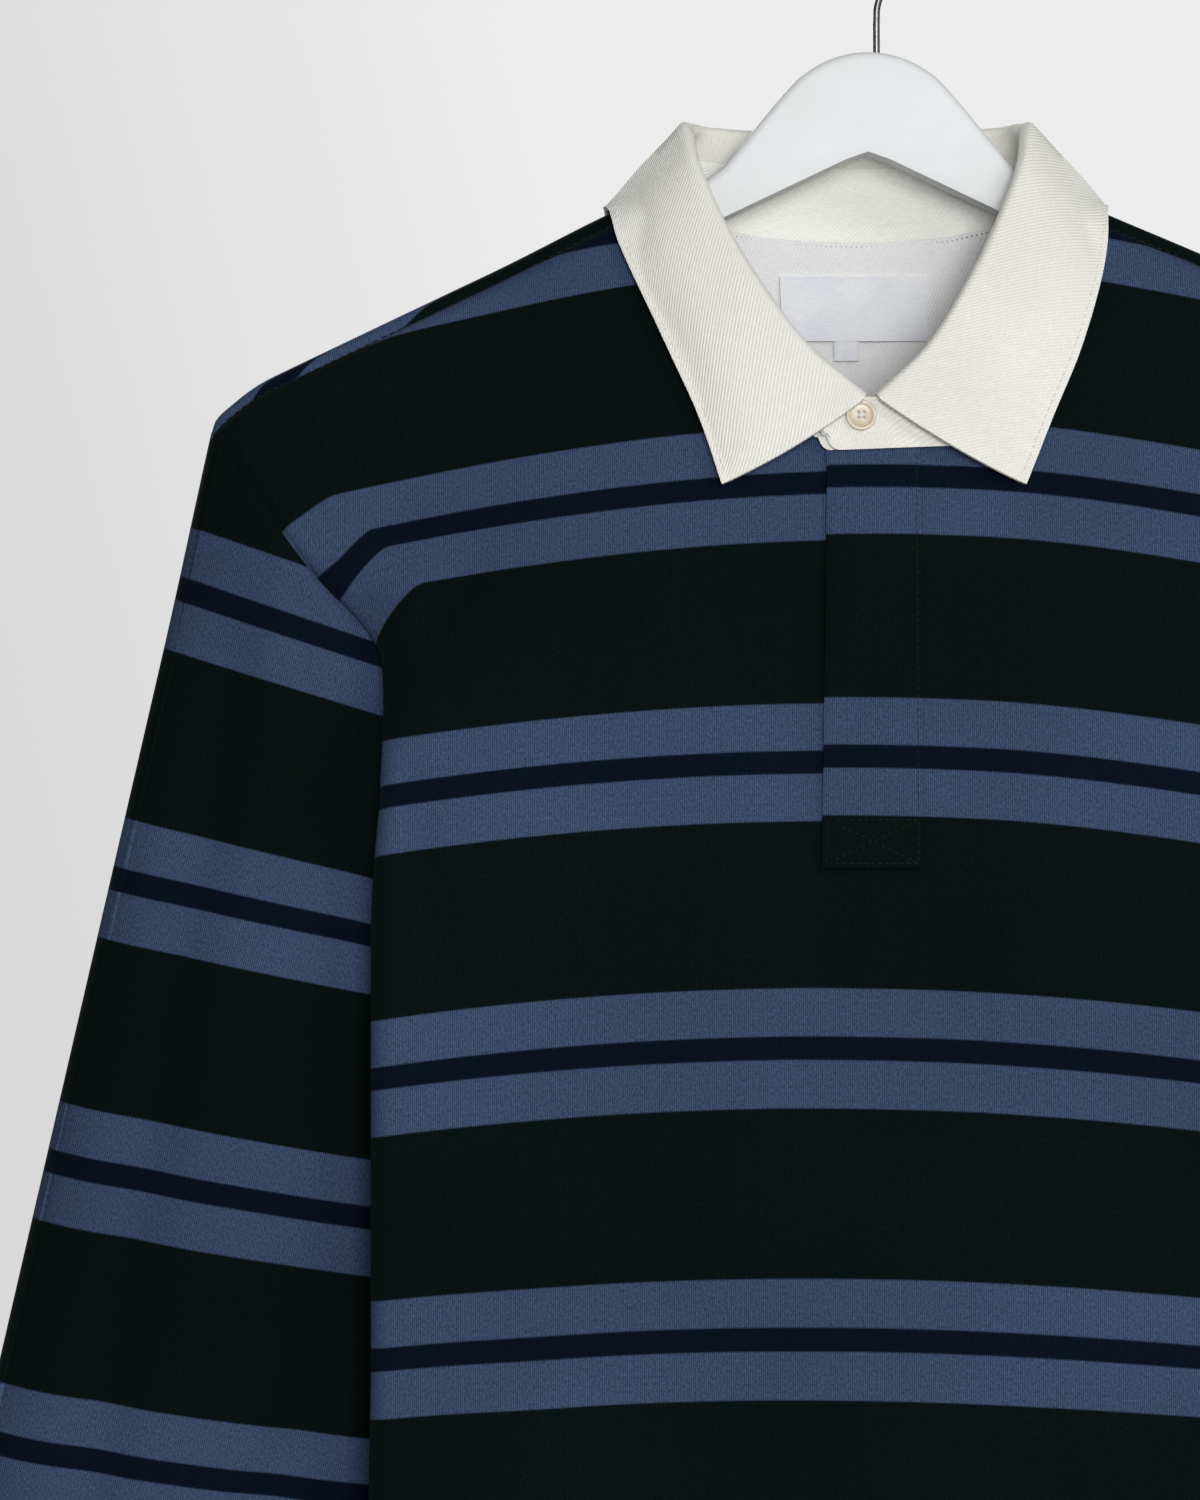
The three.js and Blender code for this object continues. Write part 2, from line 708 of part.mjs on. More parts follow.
// Sections along one stretch of the collar, even along its foot, fold and edge.
function stretchSections(hand, foot, foldTable, edgeTable) {
  const foldCurve = curveThrough(foldTable.map((p) => new THREE.Vector3(p.x, p.y, p.z)));
  const edgeCurve = curveThrough(edgeTable.map((p) => liftedPoint(p.s, p.t, p.side, p.lift)));
  const lengths = [0];
  for (let i = 1; i < foot.length; i += 1) {
    lengths.push(lengths[i - 1] + foot[i].distanceTo(foot[i - 1]));
  }
  return foot.map((point, i) => {
    const f = lengths[i] / lengths[foot.length - 1];
    const fold = foldCurve.getPointAt(f);
    const edge = edgeCurve.getPointAt(f);
    fold.x *= hand;
    edge.x *= hand;
    return { foot: point.clone(), fold, edge };
  });
}

// One section of the collar for each point of the neckline.
function collarSections() {
  const all = [];
  for (const hand of [-1, 1]) {
    const frontFoot = front.seams[hand].neck.slice().reverse();
    const backFoot = back.seams[hand].neck;
    const half = [
      ...stretchSections(hand, frontFoot, collarFoldFront, collarEdgeFront),
      ...stretchSections(hand, backFoot, collarFoldBack, collarEdgeBack).slice(1),
    ];
    all.push(...(hand < 0 ? half.slice(0, -1) : half.reverse()));
  }
  return all;
}

const sections = collarSections();

// The way along the fold line at a section, and the level way out of the neck.
function alongAt(i) {
  const before = sections[Math.max(i - 1, 0)].fold;
  const after = sections[Math.min(i + 1, sections.length - 1)].fold;
  return after.clone().sub(before).normalize();
}

function outwardAt(i) {
  const way = alongAt(i);
  return new THREE.Vector3(-way.y, way.x, 0).normalize();
}

// Pushes a point of the collar's leaf out until it clears the cloth below it.
function clearOfBody(p) {
  const drop = -p.z - ridgeT(p.x);
  const side = p.y < 0 ? -1 : 1;
  if (drop < ridgeRadius) {
    const rise = ridgeRadius - drop;
    const away = Math.hypot(p.y, rise);
    const least = ridgeRadius + shoulderClearance;
    if (away < least) {
      p.y *= least / away;
      p.z += rise * (least / away - 1);
    }
  } else {
    const cloth = bodyPoint(p.x / acrossSpread, -p.z + ridgeLead, side);
    const least = Math.abs(cloth.y) + leafClearance;
    p.y = side * Math.max(Math.abs(p.y), least);
  }
  return p;
}

// The height of the collar's seam between stand and fall, and the way up at a section.
function turnIn(section) {
  const rise = section.fold.clone().sub(section.foot);
  const height = rise.length();
  return { up: rise.normalize(), height, depth: Math.min(collarTurnIn, height * 0.45) };
}

function makeStand() {
  const surface = new Surface();
  const rows = sections.map((section) => {
    const { up, height, depth } = turnIn(section);
    const top = height - depth - seamGap / 2;
    return [0, 0.5, 1].map((f) => section.foot.clone().addScaledVector(up, lerp(seamGap, top, f)));
  });
  const index = surface.grid(rows.map((row) => row.map((p) => leaned(p))), true);
  return { surface, joined: index.map((row) => row[row.length - 1]) };
}

function makeFall() {
  const surface = new Surface();
  const rows = sections.map((section, i) => {
    const out = outwardAt(i);
    const { up, depth } = turnIn(section);
    const fromEnd = Math.min(i, sections.length - 1 - i) / (sections.length - 1);
    const folded = lerp(foldDepth.front, foldDepth.back, smooth(fromEnd / foldDepth.over));
    const inside = section.fold.clone().addScaledVector(up, -depth + seamGap / 2);
    const shoulderIn = section.fold.clone().addScaledVector(up, -2.5);
    const beyond = new THREE.Vector3().crossVectors(up, alongAt(i)).normalize();
    const top = section.fold.clone().addScaledVector(beyond, folded / 2);
    const shoulderOut = section.fold.clone().addScaledVector(up, -2.5).addScaledVector(beyond, folded);
    const leaf = [0.2, 0.45, 0.72, 1].map((f) => {
      const p = shoulderOut.clone().lerp(section.edge, f);
      const swell = 4 * f * (1 - f) * 2.5;
      p.z += swell * 0.6;
      return clearOfBody(p.addScaledVector(out, swell * 0.9));
    });
    return [inside, shoulderIn, top, shoulderOut, ...leaf];
  });
  const index = surface.grid(rows.map((row) => row.map((p) => leaned(p))), true);
  return { surface, joined: index.map((row) => row[0]) };
}

const stand = makeStand();
const fall = makeFall();
const standInward = stand.surface.inward();
const fallInward = fall.surface.inward();
matchEnds(standInward, stand.joined, fallInward, fall.joined);
addPiece(shirt, 'collar_stand', wallGeometry(stand.surface, twillThickness, standInward), twill);
addPiece(shirt, 'collar_fall', wallGeometry(fall.surface, twillThickness, fallInward), twill);

// A point of the front panel's own facets beside the slit, at x, between two of its rows.
function besideSlit(x, t, lift) {
  const { rows } = front.seams[1];
  const tOf = (row) => -row[0].z + ridgeLead;
  let k = 6;
  while (tOf(rows[k + 1]) < t) {
    k += 1;
  }
  const f = THREE.MathUtils.clamp((t - tOf(rows[k])) / (tOf(rows[k + 1]) - tOf(rows[k])), 0, 1);
  const edge = rows[k][0].clone().lerp(rows[k + 1][0], f);
  const next = rows[k][1].clone().lerp(rows[k + 1][1], f);
  const out = Math.max(Math.abs(x) - edge.x, 0) / (next.x - edge.x);
  const p = edge.lerp(next, out);
  return new THREE.Vector3(x, p.y - lift, p.z);
}

// A strip that lies on the front beside the slit.
function slitStrip(strip, lift, thickness) {
  const surface = new Surface();
  const startT = -front.seams[1].rows[6][0].z + ridgeLead;
  const levels = [startT, ...frontMiddleT.filter((t) => t < strip.endT - 4), strip.endT];
  const rows = levels.map((t) => {
    const f = (t - startT) / (strip.endT - startT);
    const left = lerp(strip.left, strip.lowerLeft, f);
    return [left, -slitHalfWidth, slitHalfWidth, strip.right].map((x) => besideSlit(x, t, lift));
  });
  surface.grid(rows.map((row) => row.map((p) => leaned(p))), true);
  return wallGeometry(surface, thickness);
}

const placketLift = placket.gap + placket.thick;
addPiece(shirt, 'placket_top', slitStrip(placket, placketLift, placket.thick), jersey);
const underLift = -jerseyThickness - placket.gap;
addPiece(shirt, 'placket_under', slitStrip(underPlacket, underLift, jerseyThickness), jersey);

// The end of the collar band that laps over the front and takes the button.
function makeOverBand() {
  const middle = sections[sections.length - 1];
  const beside = sections[sections.length - 2];
  const lift = new THREE.Vector3(0, -(2 * twillThickness + placket.gap), 0);
  const riseTo = (overBand.top - middle.foot.z) / (middle.fold.z - middle.foot.z);
  const columns = [
    { x: overBand.left, cut: 5 },
    { x: overBand.left + 1.6, cut: 2 },
    { x: overBand.left + 5, cut: 0 },
    { x: middle.foot.x, cut: 0 },
    { x: beside.foot.x, cut: 0 },
  ];
  const rows = columns.map((column, i) => {
    const section = i < columns.length - 1 ? middle : beside;
    const rise = i < columns.length - 1 ? riseTo : overBand.rise;
    const foot = section.foot.clone();
    const top = section.foot.clone().lerp(section.fold, rise);
    top.x += column.x - foot.x;
    foot.x = column.x;
    foot.z += seamGap + column.cut;
    return [0, 0.5, 1].map((f) => leaned(foot.clone().lerp(top, f).add(lift)));
  });
  const surface = new Surface();
  surface.grid(rows, true);
  return { geometry: wallGeometry(surface, twillThickness), middle };
}

const band = makeOverBand();
addPiece(shirt, 'collar_band', band.geometry, twill);

// A round button with four holes, its face turned to the front.
function makeButton() {
  const outline = new THREE.Shape();
  outline.absarc(0, 0, button.radius - button.rim, 0, 2 * Math.PI, false);
  for (const [sx, sy] of [[-1, -1], [1, -1], [1, 1], [-1, 1]]) {
    const hole = new THREE.Path();
    hole.absarc((sx * button.spacing) / Math.SQRT2, (sy * button.spacing) / Math.SQRT2, button.hole, 0, 2 * Math.PI, true);
    outline.holes.push(hole);
  }
  const geometry = new THREE.ExtrudeGeometry(outline, {
    depth: button.plate,
    bevelEnabled: true,
    bevelThickness: button.rim,
    bevelSize: button.rim,
    bevelSegments: 1,
    curveSegments: 6,
  });
  return geometry;
}

const buttonFoot = band.middle.foot.clone().lerp(band.middle.fold,
  (button.z - band.middle.foot.z) / (band.middle.fold.z - band.middle.foot.z));
const buttonMesh = addPiece(shirt, 'collar_button', makeButton(), horn);
const bandTilt = Math.atan2(band.middle.fold.y - band.middle.foot.y, band.middle.fold.z - band.middle.foot.z);
buttonMesh.rotation.x = Math.PI / 2 - bandTilt;
const buttonBack = 2 * twillThickness + placket.gap + seamGap + button.rim;
buttonMesh.position.copy(leaned(new THREE.Vector3(button.x, buttonFoot.y - buttonBack, button.z)));

// Pieces that lie inside the back of the neck.
function backInside(columns, rows, place, depth, thickness) {
  const surface = new Surface();
  const grid = [];
  for (let r = 0; r <= rows; r += 1) {
    const row = [];
    for (let c = 0; c <= columns; c += 1) {
      const { s, t } = place(c / columns, r / rows);
      row.push(leaned(liftedPoint(s, t, 1, -depth)));
    }
    grid.push(row);
  }
  surface.grid(grid, false);
  return wallGeometry(surface, thickness);
}

const necklineBySide = backNeckline.slice().reverse();
function facingPlace(across, down) {
  const s = lerp(-neckFacing.halfWidth, neckFacing.halfWidth, across);
  const top = along(necklineBySide, 's', 't', Math.abs(s)) + 1;
  const drop = neckFacing.drop * Math.sqrt(1 - (s / neckFacing.roundWidth) ** 2);
  return { s, t: top + drop * down };
}

function patchPlace(patch) {
  return (across, down) => ({ s: lerp(patch.left, patch.right, across), t: lerp(patch.top, patch.bottom, down) });
}

const facingDepth = jerseyThickness + facingGap;
const labelDepth = facingDepth + facingThickness + layGap;
addPiece(shirt, 'neck_facing',
  backInside(neckFacing.columns, neckFacing.rows, facingPlace, facingDepth, facingThickness), facingTwill);
addPiece(shirt, 'neck_label', backInside(6, 2, patchPlace(neckLabel), labelDepth, labelThickness), labelWeave);
addPiece(shirt, 'size_tab', backInside(1, 1, patchPlace(sizeTab), labelDepth, labelThickness), labelWeave);

// Hanger: a flat wooden arch with sloping arms, rounded along its edges.
// Half of its outline, from the crown to the middle of its underside, on one hand.
function hangerHalf(hand) {
  const middle = shirtShiftX;
  const beside = (x) => 1 - smooth((x - neckLeanWidth.from) / neckLeanWidth.over);
  const armTop = (x) => -ridgeT(x - hand * neckLean * beside(x)) - hanger.underRidge;
  const armBottom = (x) => hanger.apexZ - hanger.undercut * x;
  const end = hanger.halfLength;
  const crown = new THREE.CubicBezierCurve(
    new THREE.Vector2(0, hanger.topZ),
    new THREE.Vector2(11, hanger.topZ),
    new THREE.Vector2(19, hanger.topZ - 4.5),
    new THREE.Vector2(25, hanger.topZ - 9),
  );
  const neck = new THREE.CubicBezierCurve(
    new THREE.Vector2(25, hanger.topZ - 9),
    new THREE.Vector2(34, hanger.topZ - 17.5),
    new THREE.Vector2(44, hanger.topZ - 31.5),
    new THREE.Vector2(54, hanger.topZ - 43),
  );
  const arm = [
    ...hanger.armStations.map((x) => new THREE.Vector2(x, armTop(x))),
    new THREE.Vector2(end - 3, armTop(end - 3) - 1),
    new THREE.Vector2(end, (armTop(end) + armBottom(end)) / 2),
    new THREE.Vector2(end - 6, armBottom(end - 6)),
    new THREE.Vector2(8, armBottom(8)),
  ];
  return [
    ...[...crown.getPoints(5), ...neck.getPoints(4).slice(1), ...arm].map((p) => (
      new THREE.Vector2(hand * p.x + middle, p.y)
    )),
    new THREE.Vector2(middle, hanger.apexZ - 1),
  ];
}

function hangerOutline() {
  const right = hangerHalf(1);
  const left = hangerHalf(-1).slice(1, -1).reverse();
  return new THREE.Shape([...right, ...left]);
}

function solidOf(wasm, geometry) {
  geometry.deleteAttribute('normal');
  geometry.deleteAttribute('uv');
  const merged = mergeVertices(geometry, 1e-4);
  return new wasm.Manifold(new wasm.Mesh({
    numProp: 3,
    vertProperties: new Float32Array(merged.attributes.position.array),
    triVerts: new Uint32Array(merged.index.array),
  }));
}

function geometryOf(solid) {
  const mesh = solid.getMesh();
  const geometry = new THREE.BufferGeometry();
  geometry.setAttribute('position', new THREE.Float32BufferAttribute(mesh.vertProperties, 3));
  geometry.setIndex(Array.from(mesh.triVerts));
  return geometry;
}

async function makeHanger() {
  const wasm = await Module();
  wasm.setup();
  const board = new THREE.ExtrudeGeometry(hangerOutline(), {
    depth: hanger.thick - 2 * hanger.bevel,
    bevelEnabled: true,
    bevelThickness: hanger.bevel,
    bevelSize: hanger.bevel,
    bevelOffset: -hanger.bevel,
    bevelSegments: 3,
    curveSegments: 6,
  });
  board.translate(0, 0, -(hanger.thick - 2 * hanger.bevel) / 2);
  board.rotateX(Math.PI / 2);
  const boreDepth = hook.seat + seamGap;
  const bore = new THREE.CylinderGeometry(hook.wireRadius + seamGap, hook.wireRadius + seamGap, 2 * boreDepth, 16);
  bore.rotateX(Math.PI / 2);
  bore.translate(0, 0, hanger.topZ);
  return geometryOf(solidOf(wasm, board).subtract(solidOf(wasm, bore)));
}

addPiece(hangerGroup, 'hanger_body', await makeHanger(), paint);

// Hook: a bent wire whose bend rests on the rod at the origin.
function makeHook() {
  const bend = hook.innerRadius + hook.wireRadius;
  const points = [
    new THREE.Vector3(0, 0, hanger.topZ - hook.seat),
    new THREE.Vector3(0, 0, hanger.topZ),
    new THREE.Vector3(0, 0, -bend - 31),
    new THREE.Vector3(0.3, 0, -bend - 27),
    new THREE.Vector3(3.4, 0, -bend - 19),
    new THREE.Vector3(9.6, 0, -bend - 13.4),
  ];
  for (let i = 0; i <= 9; i += 1) {
    const angle = THREE.MathUtils.degToRad(lerp(-34, 208, i / 9));
    const p = new THREE.Vector3(bend * Math.cos(angle), 0, -hook.innerRadius + bend * Math.sin(angle));
    points.push(p);
  }
  const section = new THREE.Shape();
  section.absarc(0, 0, hook.wireRadius, 0, 2 * Math.PI, false);
  return new THREE.ExtrudeGeometry(section, {
    steps: 36,
    bevelEnabled: false,
    curveSegments: 4,
    extrudePath: curveThrough(points),
  });
}

addPiece(hangerGroup, 'hanger_hook', makeHook(), steel);

export default garment;
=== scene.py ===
import math
import bpy
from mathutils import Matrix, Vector


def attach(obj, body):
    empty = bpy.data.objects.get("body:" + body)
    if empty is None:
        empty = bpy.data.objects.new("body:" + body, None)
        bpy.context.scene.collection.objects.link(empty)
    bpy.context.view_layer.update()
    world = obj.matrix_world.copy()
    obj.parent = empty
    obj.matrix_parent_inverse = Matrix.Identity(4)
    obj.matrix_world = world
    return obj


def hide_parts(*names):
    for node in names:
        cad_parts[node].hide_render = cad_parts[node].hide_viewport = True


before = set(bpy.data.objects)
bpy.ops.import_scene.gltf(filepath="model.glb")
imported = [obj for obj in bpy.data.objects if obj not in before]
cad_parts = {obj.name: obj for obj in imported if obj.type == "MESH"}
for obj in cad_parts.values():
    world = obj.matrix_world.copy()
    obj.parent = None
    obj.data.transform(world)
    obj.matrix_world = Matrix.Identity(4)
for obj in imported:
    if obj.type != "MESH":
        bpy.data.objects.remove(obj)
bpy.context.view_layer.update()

mm = 0.001
quarterTurn = math.pi / 2
handWords = {-1: "left", 1: "right"}
sideWords = {-1: "front", 1: "back"}


def lerp(a, b, f):
    return a + (b - a) * f


def clamp(v, low=0.0, high=1.0):
    return max(low, min(high, v))


def smooth(f):
    k = clamp(f)
    return k * k * (3 - 2 * k)


def bell(off, width):
    return math.exp(-(off / width) ** 2)


def steps(n):
    return [i / n for i in range(n + 1)]


def rowsOf(names, *rows):
    return [dict(zip(names.split(), row)) for row in rows]


def along(table, key, column, place):
    # reads a column of a table between its rows
    if place <= table[0][key]:
        return table[0][column]
    for a, b in zip(table, table[1:]):
        if place <= b[key]:
            return lerp(a[column], b[column], (place - a[key]) / (b[key] - a[key]))
    return table[-1][column]


def softAlong(table, key, column, place):
    # the same, on a smooth curve through the rows
    last = len(table) - 1
    place = clamp(place, table[0][key], table[last][key])
    i = 0
    while i < last - 1 and place > table[i + 1][key]:
        i += 1
    a, b = table[i], table[i + 1]
    span = b[key] - a[key]
    f = (place - a[key]) / span
    before, after = table[max(i - 1, 0)], table[min(i + 2, last)]
    slopeA = (b[column] - before[column]) / (b[key] - before[key])
    slopeB = (after[column] - a[column]) / (after[key] - a[key])
    f2, f3 = f * f, f * f * f
    return ((2 * f3 - 3 * f2 + 1) * a[column] + (f3 - 2 * f2 + f) * span * slopeA
            + (3 * f2 - 2 * f3) * b[column] + (f3 - f2) * span * slopeB)


def noiseAt(x, y, seed=0):
    # a slow, repeatable unevenness from -1 to 1
    a = math.sin(x * 1.7 + seed * 2.3) + math.sin(y * 2.1 - seed * 1.1 + 0.7 * x)
    b = math.sin(0.9 * x - 1.3 * y + seed) + math.sin(2.9 * y + 0.6 * seed)
    return (a + b) / 4


def runOf(points):
    # how far along its own line each point lies
    run = [0.0]
    for a, b in zip(points, points[1:]):
        run.append(run[-1] + (b - a).length)
    return run


def spotOn(run, want):
    # the step of a run in which a length falls, and how far through it
    i = 0
    while i < len(run) - 2 and want > run[i + 1]:
        i += 1
    return i, clamp((want - run[i]) / max(run[i + 1] - run[i], 1e-9))


class Spline:
    # a smooth line through points, read by its own length from 0 to 1
    def __init__(self, points, fineness=40):
        pts = [Vector(p) for p in points]
        ends = [pts[0] * 2 - pts[1]] + pts + [pts[-1] * 2 - pts[-2]]
        self.line = [pts[0]]
        for p0, p1, p2, p3 in zip(ends, ends[1:], ends[2:], ends[3:]):
            t0 = 0.0
            t1 = t0 + max((p1 - p0).length, 1e-6) ** 0.5
            t2 = t1 + max((p2 - p1).length, 1e-6) ** 0.5
            t3 = t2 + max((p3 - p2).length, 1e-6) ** 0.5
            for f in steps(fineness)[1:]:
                t = lerp(t1, t2, f)
                a1 = p0.lerp(p1, (t - t0) / (t1 - t0))
                a2 = p1.lerp(p2, (t - t1) / (t2 - t1))
                a3 = p2.lerp(p3, (t - t2) / (t3 - t2))
                b1 = a1.lerp(a2, (t - t0) / (t2 - t0))
                b2 = a2.lerp(a3, (t - t1) / (t3 - t1))
                self.line.append(b1.lerp(b2, (t - t1) / (t2 - t1)))
        self.run = runOf(self.line)

    def at(self, f):
        i, g = spotOn(self.run, clamp(f) * self.run[-1])
        return self.line[i].lerp(self.line[i + 1], g)


def deselect():
    if bpy.context.object and bpy.context.object.mode != "OBJECT":
        bpy.ops.object.mode_set(mode="OBJECT")
    bpy.ops.object.select_all(action="DESELECT")


def pick(obj):
    deselect()
    obj.select_set(True)
    bpy.context.view_layer.objects.active = obj


def added(name, primitive, **settings):
    deselect()
    primitive(**settings)
    bpy.context.object.name = name
    return bpy.context.object


def editAll(tool, **settings):
    bpy.ops.object.mode_set(mode="EDIT")
    bpy.ops.mesh.select_all(action="SELECT")
    tool(**settings)
    bpy.ops.object.mode_set(mode="OBJECT")


def applyAll(obj):
    pick(obj)
    for modifier in list(obj.modifiers):
        bpy.ops.object.modifier_apply(modifier=modifier.name)


def shadeSoft(obj, degrees=40):
    pick(obj)
    bpy.ops.object.shade_smooth_by_angle(angle=math.radians(degrees))


def joined(name, parts):
    pick(parts[0])
    for part in parts:
        part.select_set(True)
    bpy.ops.object.join()
    parts[0].name = name
    parts[0].data.name = name
    return parts[0]


def gridSheet(name, rows, turned=False):
    # a cloth sheet: a flat grid whose points are moved to their places, with the cloth's own map
    wide = len(rows[0])
    obj = added(name, bpy.ops.mesh.primitive_grid_add, x_subdivisions=wide - 1, y_subdivisions=len(rows) - 1, size=1)
    mesh = obj.data
    mesh.vertices.foreach_set("co", [c * mm for row in rows for p, _ in row for c in leaned(p)])
    layer = mesh.uv_layers.active.data
    for loop in mesh.loops:
        r, c = divmod(loop.vertex_index, wide)
        layer[loop.index].uv = [v * mm for v in rows[r][c][1]]
    if turned:
        editAll(bpy.ops.mesh.flip_normals)
    mesh.update()
    return obj


def sheetOf(name, downs, acrosses, place, turned=False):
    # place gives a point and its spot on the cloth's map, from how far across and down it is
    return gridSheet(name, [[place(a, d) for a in acrosses] for d in downs], turned)


def welded(obj, distance=0.05):
    pick(obj)
    editAll(bpy.ops.mesh.remove_doubles, threshold=distance * mm)
    return obj


def thickened(obj, thickness, even=True):
    wall = obj.modifiers.new("wall", "SOLIDIFY")
    wall.thickness = thickness * mm
    wall.offset = -1
    wall.use_even_offset = even
    applyAll(obj)
    shadeSoft(obj)
    return obj


def finishPiece(obj, material, slotName, *nodes):
    obj.data.materials.clear()
    obj.data.materials.append(material)
    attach(obj, "root")
    if nodes:
        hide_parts(*nodes)


# Camera: level, straight at the shirt's front. 0.37 mm of cloth for each of the photo's pixels.
view = {"x": -103.4, "y": -20, "z": -322.5, "distance": 1800, "frameHeight": 555, "sensor": 36, "clipEnd": 50}
camera = added("photo_camera", bpy.ops.object.camera_add, rotation=(quarterTurn, 0, 0),
               location=(view["x"] * mm, (view["y"] - view["distance"]) * mm, view["z"] * mm))
camera.data.sensor_width = view["sensor"]
camera.data.lens = view["sensor"] * view["distance"] / view["frameHeight"]
camera.data.clip_end = view["clipEnd"]
bpy.context.scene.camera = camera

# The shirt's own sizes, the same as its solids have
shirt = {
    "shiftX": -3.5, "lean": -4, "leanFrom": -230, "leanOver": 110, "leanWidth": 84, "leanFade": 60,
    "halfGirth": 280, "hem": 846, "acrossSpread": 0.985, "seamArc": 10.1,
    "ridgeRadius": 12, "ridgeT": 74.4, "slope": 0.485, "neckSoft": 35, "roundFrom": 222, "rounding": 0.0134,
    "bulgeReach": 110, "middle": {-1: 48, 1: 36}, "edge": 36,
    "foldTop": 168, "foldGrown": 9.5, "foldFrom": 270, "foldOver": 130, "hemGrowth": 0.02, "hemFrom": 560,
    "turnFrom": 252, "turnTo": 345, "foldRadius": 9, "foldSoft": 8, "seamGap": 0.3,
    "neckHalf": 78, "slitHalf": 8, "neckDrop": 93, "frontNeckRows": 7, "jersey": 1.1, "twill": 1.8,
}
shirt["lead"] = shirt["ridgeRadius"] * (quarterTurn - 1)

armhole = rowsOf("outS outT", (248, 212.5), (241, 220), (230.5, 233), (221, 247), (209, 265), (196.5, 286),
                 (190, 310), (193, 337), (206, 362), (231, 388), (257, 406), (280, 419))
backArmholeStart = rowsOf("outS outT", (248, 192.3), (248.6, 199), (248.6, 206))
backNeckline = rowsOf("inS inT", (78, 105.8), (77, 113), (74, 120), (67, 127), (54, 132.5), (37, 136),
                      (18, 137.6), (0, 138))
middleRows = {-1: [255, 292, 328, 362, 400], 1: [172, 210, 250, 290, 330, 372, 414]}
sideRows = [(440, 448), (478, 482), (516, 518), (554, 554), (592, 592), (632, 632), (674, 674),
            (716, 716), (758, 758), (800, 800), (846, 846)]

# Soft hanging folds, as the solids have them:
# front or back, across at the top and at the hem, starts at, grows over, depth, width
hangingFolds = [
    (-1, -120, -132, 420, 260, 7, 26), (-1, -48, -62, 520, 260, -5, 30), (-1, 52, 70, 480, 280, 6, 30),
    (-1, 128, 138, 440, 260, -6, 26), (1, -110, -126, 400, 260, -7, 28), (1, -30, -44, 460, 260, 6, 32),
    (1, 64, 84, 430, 280, -6, 30), (1, 126, 136, 520, 240, 6, 26),
]

# Finer creases, each a soft trough on the cloth:
# front or back, from across and down, to across and down, depth, width
creases = [
    (-1, -150, 262, -196, 330, 2.6, 9), (-1, -168, 236, -214, 262, 1.6, 8), (-1, -178, 300, -160, 420, 1.5, 8),
    (-1, 152, 270, 194, 322, 2.4, 9), (-1, 170, 240, 212, 258, 1.4, 8), (-1, 178, 310, 162, 408, 1.4, 8),
    (-1, -96, 178, -120, 300, 1.2, 20), (-1, 96, 178, 118, 296, 1.2, 20), (-1, -24, 240, -30, 380, 1.0, 8),
    (-1, 26, 250, 30, 372, 0.8, 8), (-1, -20, 376, -34, 470, 1.6, 12), (-1, 22, 378, 40, 476, 1.2, 14),
    (1, -140, 255, -194, 330, 2.6, 10), (1, 146, 262, 192, 324, 2.4, 10), (1, -60, 180, -118, 250, 1.5, 16),
    (1, 64, 180, 112, 244, 1.4, 16), (1, -10, 240, -22, 420, 1.3, 18), (1, 170, 300, 158, 430, 1.6, 9),
    (1, -172, 300, -156, 430, 1.6, 9),
]


def creaseSum(table, side, a, b):
    # how deep all of one side's creases are at a place
    total = 0.0
    for on, a0, b0, a1, b1, deep, width in table:
        if on == side:
            da, db = a1 - a0, b1 - b0
            length = math.hypot(da, db)
            f = ((a - a0) * da + (b - b0) * db) / (length * length)
            off = ((a - a0) * db - (b - b0) * da) / length
            if -0.25 < f < 1.25 and abs(off) < 3.2 * width:
                total += deep * smooth((f + 0.25) / 0.5) * smooth((1.25 - f) / 0.5) * bell(off, width)
    return total


def leaned(p):
    # the neck leans a little to the viewer's left; the shirt hangs a little left of the hook
    beside = 1 - smooth((abs(p.x) - shirt["leanWidth"]) / shirt["leanFade"])
    x = p.x + shirt["lean"] * beside * smooth((p.z - shirt["leanFrom"]) / shirt["leanOver"])
    return Vector((x + shirt["shiftX"], p.y, p.z))


def ridgeT(x):
    past = max(abs(x) - shirt["roundFrom"], 0)
    return shirt["ridgeT"] + shirt["slope"] * math.hypot(x, shirt["neckSoft"]) + shirt["rounding"] * past * past


def ridgeAt(s):
    # the ridge's level by a place on the flat cloth
    return ridgeT(s * shirt["acrossSpread"])


def foldOffset(arc, radius, turn):
    bend = min(arc / radius, turn)
    rest = max(arc - radius * turn, 0)
    return (radius * math.sin(bend) + rest * math.cos(turn),
            radius * (1 - math.cos(bend)) + rest * math.sin(turn))


knownTurns = {}


def fullTurn(arc, radius, depth):
    # how far a side's fold has to turn for its edge to reach the middle of the depth
    key = (round(arc, 3), round(radius, 3), round(depth, 3))
    if key not in knownTurns:
        low, high = quarterTurn, math.pi
        for _ in range(40):
            turn = (low + high) / 2
            if foldOffset(arc, radius, turn)[1] > depth:
                low = turn
            else:
                high = turn
        knownTurns[key] = (low + high) / 2
    return knownTurns[key]


